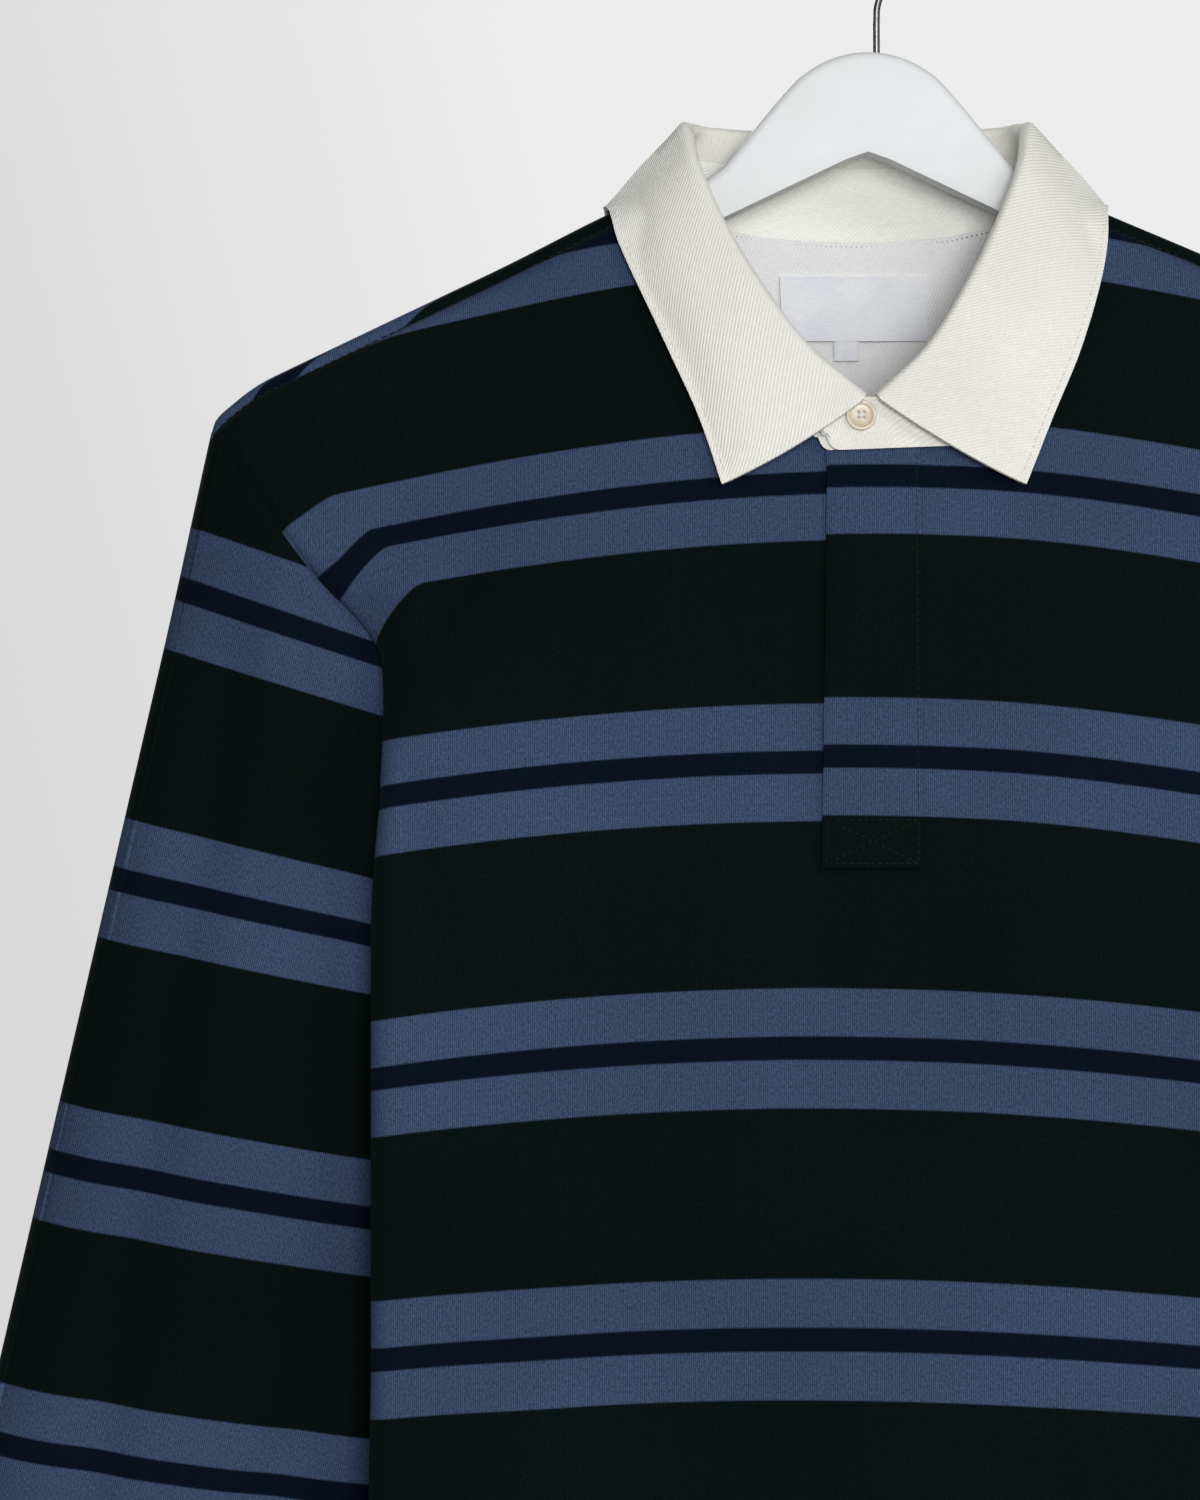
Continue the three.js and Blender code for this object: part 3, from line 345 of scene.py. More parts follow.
def bodyPoint(s, t, side, fine=True):
    # a place on the body's cloth: s across, t down, on the front (-1) or the back (1)
    hand = -1 if s < 0 else 1
    across = abs(s)
    middle, edge, r = shirt["middle"][side], shirt["edge"], shirt["ridgeRadius"]
    grown = smooth((t - shirt["turnFrom"]) / (shirt["turnTo"] - shirt["turnFrom"]))
    radius = shirt["foldRadius"] + shirt["foldSoft"] * (1 - grown)
    start = (shirt["foldTop"] + shirt["foldGrown"] * smooth((t - shirt["foldFrom"]) / shirt["foldOver"])
             + shirt["hemGrowth"] * max(t - shirt["hemFrom"], 0))
    flat = min(across, start)
    arc = across - flat
    reach = 0
    if t > shirt["turnFrom"]:
        reach = fullTurn(shirt["halfGirth"] - start, radius, edge + r - shirt["seamGap"] / 2) * grown
    out, backward = foldOffset(arc, radius, reach) if arc > 0 and reach > 0 else (arc, 0)
    x = shirt["acrossSpread"] * flat + out
    e = t - ridgeT(x)
    roll = clamp(e / r, -quarterTurn, quarterTurn)
    drop = r * (1 - math.cos(roll)) + max(e - r * quarterTurn, 0)
    swell = 1 - math.exp(-max(e - shirt["seamArc"], 0) / shirt["bulgeReach"])
    share = (flat / start) ** 2
    depth = r * math.sin(roll) + middle * swell * (1 - share) + edge * lerp(swell, 1, grown) * share
    wave = 0.0
    if arc == 0 and t > 400:
        for on, topX, hemX, fromT, overT, deep, width in hangingFolds:
            if on == side:
                centre = lerp(topX, hemX, (t - fromT) / (shirt["hem"] - fromT))
                wave += deep * smooth((t - fromT) / overT) * bell(hand * x - centre, width)
    wave *= 1 - smooth((across - (start - 30)) / 30)
    if fine:
        depth -= (creaseSum(creases, side, s, t) + 0.35 * noiseAt(s / 24, t / 30, side)) * smooth(e / 40)
    return Vector((hand * x, side * (depth + wave - backward), -ridgeT(x) - drop))


def bodyNormal(s, t, side):
    step = 2
    across = bodyPoint(s + step, t, side) - bodyPoint(s - step, t, side)
    down = bodyPoint(s, t + step, side) - bodyPoint(s, t - step, side)
    return (across.cross(down) * side).normalized()


def liftedPoint(s, t, side, lift):
    return bodyPoint(s, t, side) + bodyNormal(s, t, side) * lift


# Where the stripes run. Each row: the level on the middle line, its navy line, and how far it droops to the sides
stripes = {"period": 104, "navyHalf": 4.3, "blueHalf": 21.6, "acrossAt": 175, "acrossMost": 198,
           "frontStep": 2.2, "armDrop": 0.46}
bodyStripes = {
    -1: rowsOf("t navy arch tilt", (26, -2, 28, -1), (130, -1, 26, -1), (231.5, 0, 18.6, -0.8), (333.8, 1, 14, 2.2),
               (437.6, 2, 14, 3.3), (543, 3, 11, 3), (649, 4, 9, 2.5), (755, 5, 7, 2), (861, 6, 6, 2)),
    1: rowsOf("t navy arch tilt", (61.7, -1, 6, 0), (165.7, 0, 6, 0), (269.7, 1, 8, -1), (373.7, 2, 10, -2),
              (477.7, 3, 10, -2), (893.7, 7, 6, -1)),
}
# the same down a sleeve's outer edge, and how fast a stripe drops across it
sleeveStripes = rowsOf("u navy drop", (-49, -1, 0.12), (61.4, 0, 0.106), (172.4, 1, -0.019), (280.2, 2, -0.054),
                       (386.6, 3, -0.078), (598.6, 5, -0.08))


def armholeDrop(s, t, side):
    # beyond the fold beside the armhole the cloth hangs down, and its stripes with it
    beyond = max(abs(s) - 197.3 + 0.93 * (t - 235.6), 0)
    fades = smooth((t - 205) / 25) * (1 - smooth((t - 290) / 25))
    return stripes["armDrop"] * beyond * beyond / (beyond + 5) * fades * (1 if side < 0 else 0.4)


def bodyStripe(s, t, side):
    t -= armholeDrop(s, t, side)
    table = bodyStripes[side]
    across = clamp(s, -stripes["acrossMost"], stripes["acrossMost"]) / stripes["acrossAt"]
    level = t - along(table, "t", "arch", t) * across * across - along(table, "t", "tilt", t) * across
    return softAlong(table, "t", "navy", level) * stripes["period"]


def bodyUv(s, t, side):
    # beside the placket the wearer's-left front sits a little higher than the other
    higher = smooth(s / 8) * (1 - smooth((s - 40) / 110)) * (1 - smooth((t - 372) / 12)) if side < 0 else 0
    return s, bodyStripe(s, t, side) + stripes["frontStep"] * higher


# Front and back panels, in fine rows between the solids' own rows
panel = {"subRows": 6, "slitRow": 10, "seamDip": 1.5, "seamWide": 1.7, "seamPuff": 0.7, "puffAt": 5.5, "puffWide": 4,
         "seamLeft": 0.1, "foldFrom": 166, "foldEnd": 208, "columns": (30, 36, 18)}


def frontNeck(k):
    # the front neckline is a quarter of an oval, down to the slit
    angle = (k / 6) * math.acos(shirt["slitHalf"] / shirt["neckHalf"])
    top = ridgeAt(shirt["neckHalf"]) + shirt["seamArc"]
    return {"inS": shirt["neckHalf"] * math.cos(angle), "inT": top + shirt["neckDrop"] * math.sin(angle)}


def armEnd(side):
    return len(armhole) - 1 + (len(backArmholeStart) if side > 0 else 0)


def coarseRows(side):
    inner = shirt["slitHalf"] if side < 0 else 0
    inEnds = [frontNeck(k) for k in range(shirt["frontNeckRows"])] if side < 0 else list(backNeckline)
    inEnds += [{"inS": inner, "inT": t} for t in middleRows[side]]
    outEnds = armhole if side < 0 else backArmholeStart + armhole
    rows = [{**a, **b} for a, b in zip(inEnds, outEnds)]
    rows += [{"inS": inner, "inT": middleT, "outS": shirt["halfGirth"], "outT": sideT} for middleT, sideT in sideRows]
    return [{"k": k, **row} for k, row in enumerate(rows)]


def rowEnds(side, rows, k):
    ends = {"outS": min(softAlong(rows, "k", "outS", k), shirt["halfGirth"]), "outT": softAlong(rows, "k", "outT", k)}
    neckRows = shirt["frontNeckRows"] if side < 0 else len(backNeckline)
    if k > neckRows - 1:
        ends.update({name: along(rows, "k", name, k) for name in ("inS", "inT")})
    elif side < 0:
        ends.update(frontNeck(k))
    else:
        neck = rows[:neckRows]
        ends.update({"inS": max(softAlong(neck, "k", "inS", k), 0), "inT": softAlong(neck, "k", "inT", k)})
    return ends


def rowPlaces(inner, outer):
    # even on the flat, closer on the fold, closest beside the seam
    foldEnd = min(panel["foldEnd"], outer - 6)
    foldFrom = min(panel["foldFrom"], foldEnd - 20)
    flat, fold, seam = (steps(n) for n in panel["columns"])
    return ([lerp(inner, foldFrom, f) for f in flat[:-1]] + [lerp(foldFrom, foldEnd, f) for f in fold[:-1]]
            + [lerp(foldEnd, outer, 1 - (1 - f) ** 1.5) for f in seam])


def shoulderGap(s):
    # how far apart the front's and the back's own rows leave their edges along the shoulder
    f = clamp((s - shirt["neckHalf"]) / (armhole[0]["outS"] - shirt["neckHalf"]))
    lag = ridgeT(shirt["acrossSpread"] * min(s, shirt["foldTop"]) + max(s - shirt["foldTop"], 0)) - ridgeAt(s)
    armRidge = ridgeAt(armhole[0]["outS"])
    frontE = lerp(shirt["seamArc"], armhole[0]["outT"] - armRidge, f)
    backE = lerp(backNeckline[0]["inT"] - ridgeAt(shirt["neckHalf"]), backArmholeStart[0]["outT"] - armRidge, f)
    return frontE + backE - 2 * lag


def clothPoint(side, hand, row, s, k):
    level = smooth((k - (3 if side > 0 else 0)) / 8)
    f = (s - row["inS"]) / (row["outS"] - row["inS"])
    inE, outE = row["inT"] - ridgeAt(row["inS"]), row["outT"] - ridgeAt(row["outS"])
    alongRidge = ridgeAt(s) + lerp(inE, outE, f)
    if side > 0:
        alongRidge -= (shoulderGap(s) - panel["seamLeft"]) * (1 - smooth(k / 3))
    return hand * s, lerp(alongRidge, lerp(row["inT"], row["outT"], f), level)


def seamShape(distance):
    # the cloth dips into a seam and puffs up a little beside it
    return (panel["seamPuff"] * bell(distance - panel["puffAt"], panel["puffWide"])
            - panel["seamDip"] * bell(distance, panel["seamWide"]))


def makeHalf(side, hand):
    rows = coarseRows(side)
    lines, arm = [], []
    for n in range((len(rows) - 1) * panel["subRows"] + 1):
        k = n / panel["subRows"]
        row = rowEnds(side, rows, k)
        line = []
        for s in rowPlaces(row["inS"], row["outS"]):
            place = clothPoint(side, hand, row, s, k)
            p = bodyPoint(*place, side)
            toArm = row["outS"] - s if k <= armEnd(side) else 99
            near = seamShape(min(toArm, abs(place[1] - ridgeAt(s) + side * shirt["seamArc"])))
            if abs(near) > 0.02:
                p += bodyNormal(*place, side) * near
            line.append((p, bodyUv(*place, side)))
        if k <= armEnd(side):
            arm.append({"p": line[-1][0].copy(), "k": k})
        lines.append(line)
    return gridSheet(f"{sideWords[side]}_{handWords[hand]}", lines, (hand > 0) == (side < 0)), arm


def frontPlace(s, t):
    return bodyPoint(s, t, -1), bodyUv(s, t, -1)


def makePanel(side):
    halves, arms = [], {}
    for hand in (-1, 1):
        obj, arms[hand] = makeHalf(side, hand)
        halves.append(obj)
    if side < 0:
        rows, sub = coarseRows(side), panel["subRows"]
        levels = [along(rows, "k", "inT", n / sub) for n in range(panel["slitRow"] * sub, (len(rows) - 1) * sub + 1)]
        across = [lerp(-shirt["slitHalf"], shirt["slitHalf"], f) for f in steps(4)]
        halves.append(sheetOf("front_middle", levels, across, frontPlace, True))
    obj = joined(f"{sideWords[side]}_cloth", halves)
    return thickened(welded(obj), shirt["jersey"]), arms


frontCloth, frontArms = makePanel(-1)
backCloth, backArms = makePanel(1)
print("panels made")

# Sleeves
sleeve = {
    "lean": math.radians(13), "originX": 244, "originZ": -202, "end": 562, "rows": 85, "weld": 0.02,
    "blend": 85, "nose": 9.3, "clearance": 3, "troughDepth": 5, "troughHalf": 13, "troughTop": 22, "troughGain": 0.058,
}
sleeveSections = rowsOf("u width half", (0, 175.8, 19), (175, 175.8, 23), (330, 163, 25), (410, 154, 25),
                        (480, 132, 23), (530, 110, 20), (562, 94, 14))
# front or back, from across and down the sleeve, to across and down, depth, width
sleeveCreases = [
    (-1, 92, 130, 128, 300, 1.8, 11), (-1, 70, 40, 60, 150, 1.4, 10), (-1, 118, 330, 96, 470, 2.2, 10),
    (-1, 70, 400, 62, 545, 2.6, 8), (-1, 40, 430, 40, 552, 2.0, 7), (-1, 92, 470, 80, 556, 2.2, 6),
    (1, 84, 110, 120, 290, 2.0, 12), (1, 30, 160, 44, 380, 2.4, 12), (1, 110, 320, 92, 480, 2.2, 10),
    (1, 58, 410, 56, 550, 2.4, 8), (1, 30, 450, 34, 552, 1.8, 7),
]
downWay = (-math.sin(sleeve["lean"]), -math.cos(sleeve["lean"]))
acrossWay = (math.cos(sleeve["lean"]), -math.sin(sleeve["lean"]))


def dropShape(x):
    # a teardrop: round at the outer edge, sharp at the underarm
    return 2.598 * math.sqrt(max(x, 0)) * (1 - x)


def sleevePlace(hand, u, across, y):
    px = -sleeve["originX"] + downWay[0] * u + acrossWay[0] * across
    return Vector((-hand * px, y, sleeve["originZ"] + downWay[1] * u + acrossWay[1] * across))


def sleevePoint(hand, u, x, facing, fine=True):
    # u down the outer edge, x across from it to the underarm
    across = x * along(sleeveSections, "u", "width", u)
    away = across - (sleeve["troughTop"] + sleeve["troughGain"] * u)
    ends = smooth((u - (45 if fine else 90)) / 80) * smooth((sleeve["end"] - u) / 120)
    dent = sleeve["troughDepth"] * bell(away, sleeve["troughHalf"]) * ends
    if fine:
        shown = smooth((u - 60) / 60) * smooth(x / 0.08) * smooth((1 - x) / 0.15)
        creased = creaseSum(sleeveCreases, facing, across, u)
        dent += (1.5 * creased + 0.5 * noiseAt(across / 22, u / 34, 3 + facing)) * shown
    half = softAlong(sleeveSections, "u", "half", u)
    return sleevePlace(hand, u, across, facing * max(half * dropShape(x) - dent, 0))


gussetApex = bodyPoint(shirt["halfGirth"], shirt["hem"] / 2, -1, False)
gussetHigh = bodyPoint(shirt["halfGirth"] - 60, shirt["hem"] / 2, -1, False)
gussetSlope = (gussetApex.y - gussetHigh.y) / (gussetHigh.x - gussetApex.x)


def insideGusset(p, clearance):
    # keeps the sleeve within the body's folded side
    most = max((abs(p.x) - gussetApex.x) * gussetSlope, 0) - clearance
    if abs(p.x) < gussetHigh.x + 4 and abs(p.y) > most:
        p.y = math.copysign(max(most, 0), p.y)
    return p


def sleeveColumns(hand):
    # from the underarm up the front and down the back, on the armhole's own points
    front = frontArms[hand][::-1]
    entries = front + backArms[hand][1:]
    columns = []
    for n, entry in enumerate(entries):
        seam = entry["p"]
        dx, dz = sleeve["originX"] - hand * seam.x, seam.z - sleeve["originZ"]
        u = dx * downWay[0] + dz * downWay[1]
        width = along(sleeveSections, "u", "width", u)
        nose = min(seam.y * seam.y / (2 * sleeve["nose"] * width), 0.03)
        fromTop = entry["k"] - (0 if n < len(front) else len(backArmholeStart))
        x = lerp(nose, (dx * acrossWay[0] + dz * acrossWay[1]) / width, smooth(fromTop))
        end = n in (0, len(entries) - 1)
        x = 1 if end else x
        facing = -1 if seam.y < 0 else 1
        shift = seam - sleevePoint(hand, u, x, facing, False)
        if end:
            shift.y = 0
        columns.append({"u": u, "x": x, "facing": facing, "end": end, "shift": shift})
    return columns


def sleeveStripe(u, across):
    level = u - along(sleeveStripes, "u", "drop", u) * across
    return softAlong(sleeveStripes, "u", "navy", level) * stripes["period"]


def makeSleeve(hand):
    columns = sleeveColumns(hand)

    def place(c, f):
        u = lerp(c["u"], sleeve["end"], f ** 1.15)
        down = u - c["u"]
        p = sleevePoint(hand, u, c["x"], c["facing"]) + c["shift"] * (1 - smooth(down / sleeve["blend"]))
        if f > 0:
            p = insideGusset(p, sleeve["clearance"] * smooth(down / 30))
            if not c["end"] and down < 16 and c["x"] < 0.9:
                p.y += c["facing"] * seamShape(down) * 0.8 * smooth(abs(p.y) / 8)
        across = c["x"] * along(sleeveSections, "u", "width", u)
        return p, (c["facing"] * across, sleeveStripe(u, across))

    obj = sheetOf(f"sleeve_cloth_{handWords[hand]}", steps(sleeve["rows"]), columns, place, hand > 0)
    return thickened(welded(obj, sleeve["weld"]), shirt["jersey"], False)


sleeveCloths = {hand: makeSleeve(hand) for hand in (-1, 1)}

# Cuffs: ribbed bands
cuff = {"length": 62, "ribs": 56, "perRib": 6, "ribDepth": 0.45, "rows": 14, "wall": 2,
        "widthTop": 88, "widthEnd": 84, "halfTop": 11, "halfEnd": 10}


def makeCuff(hand):
    def place(turn, f):
        width, half = lerp(cuff["widthTop"], cuff["widthEnd"], f), lerp(cuff["halfTop"], cuff["halfEnd"], f)
        edge = smooth(f / 0.08) * smooth((1 - f) / 0.05)
        angle, down = turn * 2 * math.pi, f * cuff["length"]
        rib = cuff["ribDepth"] * (0.5 - 0.5 * math.cos(angle * cuff["ribs"])) * lerp(0.3, 1, edge)
        across = sleeveSections[-1]["width"] / 2 - (width / 2 - rib) * math.cos(angle)
        u = sleeve["end"] + shirt["seamGap"] + down
        return sleevePlace(hand, u, across, -(half - rib) * math.sin(angle)), (turn * 2 * width, down)

    around = steps(cuff["ribs"] * cuff["perRib"])
    obj = sheetOf(f"cuff_rib_{handWords[hand]}", steps(cuff["rows"]), around, place, hand < 0)
    return thickened(welded(obj, sleeve["weld"]), cuff["wall"])


cuffs = {hand: makeCuff(hand) for hand in (-1, 1)}
print("sleeves and cuffs made")

# Collar: foot on the neckline, fold line above it, and the leaf turned down to its edge on the cloth
collar = {"turnIn": 14, "foldFront": 10, "foldBack": 5.5, "foldOver": 0.45, "leafClear": 5, "shoulderClear": 4,
          "leafRows": 26, "edgeSeam": 2.6, "endSteps": 10, "ripple": 1.0, "overBand": 3.2, "leftTrim": 5,
          "foldRise": 3}
collarFoldFront = [(1.2, -41, -193.4), (21, -37, -175), (37, -31, -151), (49.5, -22, -127), (57.5, -12, -106),
                   (60, 0, -90.5)]
collarFoldBack = [(60, 0, -90.5), (54, 12, -88.5), (32, 19, -88.5), (0, 22, -88.5)]
# front, ridge or back, across, down, off the cloth
collarEdgeFront = [(-1, 56, 233, 4.5), (-1, 67, 208, 4.5), (-1, 79, 183, 4.5), (-1, 90, 154, 4.5), (0, 95, 0, 3.5)]
collarEdgeBack = [(0, 95, 0, 3.5), (1, 90, 144, 5), (1, 62, 162, 5), (1, 0, 166, 5)]


def edgeSpot(side, s, t, lift):
    # side 0 is a place above the shoulder's ridge
    return liftedPoint(s, t, side, lift) if side else Vector((s, 0, lift - ridgeT(s)))


def stretchSections(hand, foot, foldTable, edgeTable, trim=0):
    foldLine, edgeLine = Spline(foldTable), Spline([edgeSpot(*spot) for spot in edgeTable])
    run = runOf(foot)
    found = []
    for point, length in zip(foot, run):
        f = length / run[-1]
        fold, edge = foldLine.at(f), edgeLine.at(f)
        fold.x *= hand
        edge.x = hand * (edge.x - trim * math.sin(math.pi * f))
        found.append({"foot": point, "fold": fold, "edge": edge})
    return found


def collarSections():
    frontK = [6 - 0.05 * i for i in range(collar["endSteps"])] + [lerp(5.5, 0, f) for f in steps(32)]
    backRows = [{"k": k, **row} for k, row in enumerate(backNeckline)]
    backEnds = [(max(softAlong(backRows, "k", "inS", i / 5), 0), softAlong(backRows, "k", "inT", i / 5))
                for i in range(36)]
    everything = []
    for hand in (-1, 1):
        frontFoot = [bodyPoint(hand * row["inS"], row["inT"], -1, False) for row in map(frontNeck, frontK)]
        backFoot = [bodyPoint(hand * s, t, 1, False) for s, t in backEnds]
        trim = collar["leftTrim"] if hand < 0 else 0
        half = stretchSections(hand, frontFoot, collarFoldFront, collarEdgeFront, trim)
        half += stretchSections(hand, backFoot, collarFoldBack, collarEdgeBack)[1:]
        everything += half[:-1] if hand < 0 else half[::-1]
    return everything


sections = collarSections()


def alongAt(i):
    before = sections[max(i - 2, 0)]["fold"]
    after = sections[min(i + 2, len(sections) - 1)]["fold"]
    return (after - before).normalized()


def clearOfBody(p):
    # keeps the leaf off the cloth below it
    ridge, r = ridgeT(p.x), shirt["ridgeRadius"]
    s, drop = p.x / shirt["acrossSpread"], -p.z - ridge
    side = -1 if p.y < 0 else 1
    if drop < r:
        rise = r - drop
        cloth = bodyPoint(s, ridge + r * math.atan2(abs(p.y), rise), side, False)
        least = math.hypot(cloth.y, r + cloth.z + ridge) + collar["shoulderClear"]
        more = max(least / math.hypot(p.y, rise), 1)
        return Vector((p.x, p.y * more, p.z + rise * (more - 1)))
    cloth = bodyPoint(s, -p.z + shirt["lead"], side, False)
    least = abs(cloth.y) + lerp(collar["shoulderClear"], collar["leafClear"], smooth((drop - r) / 16))
    if side < 0:
        least += collar["overBand"] * smooth((34 - abs(p.x)) / 14)
    return Vector((p.x, side * max(abs(p.y), least), p.z))


def turnIn(section):
    rise = section["fold"] - section["foot"]
    height = rise.length
    return rise.normalized(), height, min(collar["turnIn"], height * 0.45)


def leafProfile(i):
    # one section of the collar, from the seam on its stand, over the fold, down to the leaf's edge
    section, way = sections[i], alongAt(i)
    out = Vector((-way.y, way.x, 0)).normalized()
    up, _, depth = turnIn(section)
    fromEnd = min(i, len(sections) - 1 - i) / (len(sections) - 1)
    folded = lerp(collar["foldFront"], collar["foldBack"], smooth(fromEnd / collar["foldOver"]))
    beyond = up.cross(way).normalized()
    fold, edge, rise = section["fold"], section["edge"], collar["foldRise"]
    low = fold - up * rise
    points = [fold - up * depth, fold - up * lerp(depth, rise, 0.5), low]
    for f in steps(8)[1:]:
        angle = math.pi * f
        points.append(low + up * rise * math.sin(angle) + beyond * folded / 2 * (1 - math.cos(angle)))
    start = low + beyond * folded
    total = (edge - start).length
    for n in steps(collar["leafRows"])[1:]:
        f = 1 - (1 - n) ** 1.35
        swell = 10 * f * (1 - f) * lerp(0.1, 1, smooth(abs(fold.y) / 30))
        lifted = lerp(-0.9, 0.6, smooth(fromEnd / 0.07))
        ripple = collar["ripple"] * math.sin(i / 9 + 5 * f) * math.sin(i / 23 - 3 * f) * f * smooth(fromEnd / 0.05)
        p = clearOfBody(start.lerp(edge, f) + out * (swell * 0.9 + ripple) + Vector((0, 0, swell * lifted)))
        fromEdge = total * (1 - f)
        points.append(p + out * (0.35 * bell(fromEdge - 1.2, 1.1) - 0.3 * bell(fromEdge - collar["edgeSeam"], 0.8)))
    return points


def makeLeaf():
    profiles = [leafProfile(i) for i in range(len(sections))]
    lengths = runOf([points[len(points) // 2] for points in profiles])
    rows = [[(p, (length, down)) for p, down in zip(points, runOf(points))]
            for points, length in zip(profiles, lengths)]
    obj = gridSheet("collar_leaf_cloth", rows, True)
    return thickened(obj, shirt["twill"], False), [[leaned(p) for p in points] for points in profiles]


def makeStand():
    rows = []
    for section, length in zip(sections, runOf([section["foot"] for section in sections])):
        up, height, depth = turnIn(section)
        heights = [lerp(shirt["seamGap"], height - depth - 0.05, f) for f in steps(8)]
        rows.append([(section["foot"] + up * h, (length, -h)) for h in heights])
    return thickened(gridSheet("collar_stand_cloth", rows, True), shirt["twill"])


leafCloth, leafRows = makeLeaf()
standCloth = makeStand()
print("collar made")

# Placket, with the band end and button above it
placket = {"left": -17, "right": 17.5, "lowerLeft": -19.5, "top": 218.3, "end": 372, "liftLeft": 2.3, "liftRight": 1.5,
           "boxTop": 353.5, "stripeShift": 2.2, "columns": 30, "rows": 90, "wall": 1.2}
underPlacket = {"half": 17, "lift": -2.0, "end": 360, "columns": 12, "rows": 40}


def placketAcross(f, t):
    down = (t - placket["top"]) / (placket["end"] - placket["top"])
    return lerp(lerp(placket["left"], placket["lowerLeft"], clamp(down)), placket["right"], f)


def placketPoint(f, t):
    s = placketAcross(f, t)
    base = bodyPoint(s, t, -1, False)
    lift = lerp(placket["liftLeft"], placket["liftRight"], f) - 0.7 * bell(f, 0.035) - 0.7 * bell(1 - f, 0.03)
    box = smooth((t - placket["boxTop"] + 2) / 3)
    lift -= 0.5 * box * bell(f - 0.04, 0.03) + 0.35 * bell(t - placket["boxTop"], 1.2)
    lift += 0.3 * math.sin(6 * f + t / 21) * smooth((t - 226) / 30) * (1 - box)
    return Vector((s, base.y - lift, base.z))


def topPlace(f, t):
    x = placketAcross(f, t)
    return placketPoint(f, t), (x, bodyStripe(x, t, -1) + placket["stripeShift"])


def underPlace(s, t):
    p = bodyPoint(s, t, -1, False)
    return Vector((p.x, p.y - underPlacket["lift"], p.z)), bodyUv(s, t, -1)


def makePlacket():
    downs = [lerp(placket["top"], placket["end"], f) for f in steps(placket["rows"])]
    obj = sheetOf("placket_top_cloth", downs, steps(placket["columns"]), topPlace, True)
    thickened(obj, placket["wall"])
    downs = [lerp(placket["top"], underPlacket["end"], f) for f in steps(underPlacket["rows"])]
    across = [lerp(-underPlacket["half"], underPlacket["half"], f) for f in steps(underPlacket["columns"])]
    below = sheetOf("placket_under_cloth", downs, across, underPlace, True)
    return obj, thickened(below, placket["wall"])


placketTop, placketUnder = makePlacket()

band = {"left": -16.5, "top": -193.8, "rise": 0.75, "corner": 4.5, "wall": 1.3, "lift": 4.4, "rows": 16, "columns": 44,
        "endLift": 0.4, "tilt": 0.04, "below": 2.2, "bend": 0.8, "long": 46, "high": 20,
        "underLeft": -19.6, "underLift": 2.5, "underColumns": 24}
bandMiddle, bandBeside = sections[-1], sections[-1 - 15]


def bandPoint(f, rise, lift, left):
    # f runs from the rounded end to under the leaf on the viewer's right
    middle, beside, bend, corner = bandMiddle, bandBeside, band["bend"], band["corner"]
    foot = middle["foot"].copy()
    riseTo = (band["top"] - foot.z) / (middle["fold"].z - foot.z)
    top = foot.lerp(middle["fold"], riseTo)
    if f < bend:
        x = lerp(left, foot.x, f / bend)
        top.x += x - foot.x
        foot.x = x
    else:
        g = (f - bend) / (1 - bend)
        besideFoot = beside["foot"]
        top = top.lerp(besideFoot.lerp(beside["fold"], band["rise"]), g)
        foot = Vector((lerp(foot.x, besideFoot.x, g), lerp(foot.y, besideFoot.y, 0.4 * g), foot.z))
        lift *= 1 - 0.3 * g
    foot.z += band["tilt"] * (foot.x - left) - band["below"]
    lift += band["endLift"] * (1 - smooth(f / 0.45))
    fromLeft = min((f / bend) * (middle["foot"].x - left), corner)
    foot.z += corner - math.sqrt(max(corner ** 2 - (corner - fromLeft) ** 2, 0))
    roll = 1.1 * bell(1 - rise, 0.12) * smooth(f / 0.3)
    bulge = 0.5 * math.sin(math.pi * rise) + roll - 0.5 * bell(rise, 0.08)
    return foot.lerp(top, rise) - Vector((0, lift + bulge, 0))


def makeBand(name, left, lift, columns, reach=1.0):
    def place(rise, f):
        return bandPoint(f, rise, lift, left), (f * band["long"], -rise * band["high"])

    fs = [reach * f ** 1.25 for f in steps(columns)]
    return thickened(sheetOf(name, fs, steps(band["rows"]), place, True), band["wall"], False)


overBand = makeBand("collar_band_cloth", band["left"], band["lift"], band["columns"])
underBand = makeBand("collar_band_under", band["underLeft"], band["underLift"], band["underColumns"], 0.8)
print("placket and band made")

# Button: a turned disc with a rim, a dished face and four holes, sewn on with thread
button = {"radius": 5.6, "thick": 2.6, "rim": 1.2, "dish": 0.55, "hole": 0.62, "holeOff": 1.45 / math.sqrt(2),
          "x": -4, "z": -200.5, "edge": 0.55}


def buttonPlace():
    foot, fold = bandMiddle["foot"], bandMiddle["fold"]
    y = lerp(foot.y, fold.y, (button["z"] - foot.z) / (fold.z - foot.z)) - band["lift"] - 0.9
    return leaned(Vector((button["x"], y, button["z"]))), quarterTurn - math.atan2(fold.y - foot.y, fold.z - foot.z)


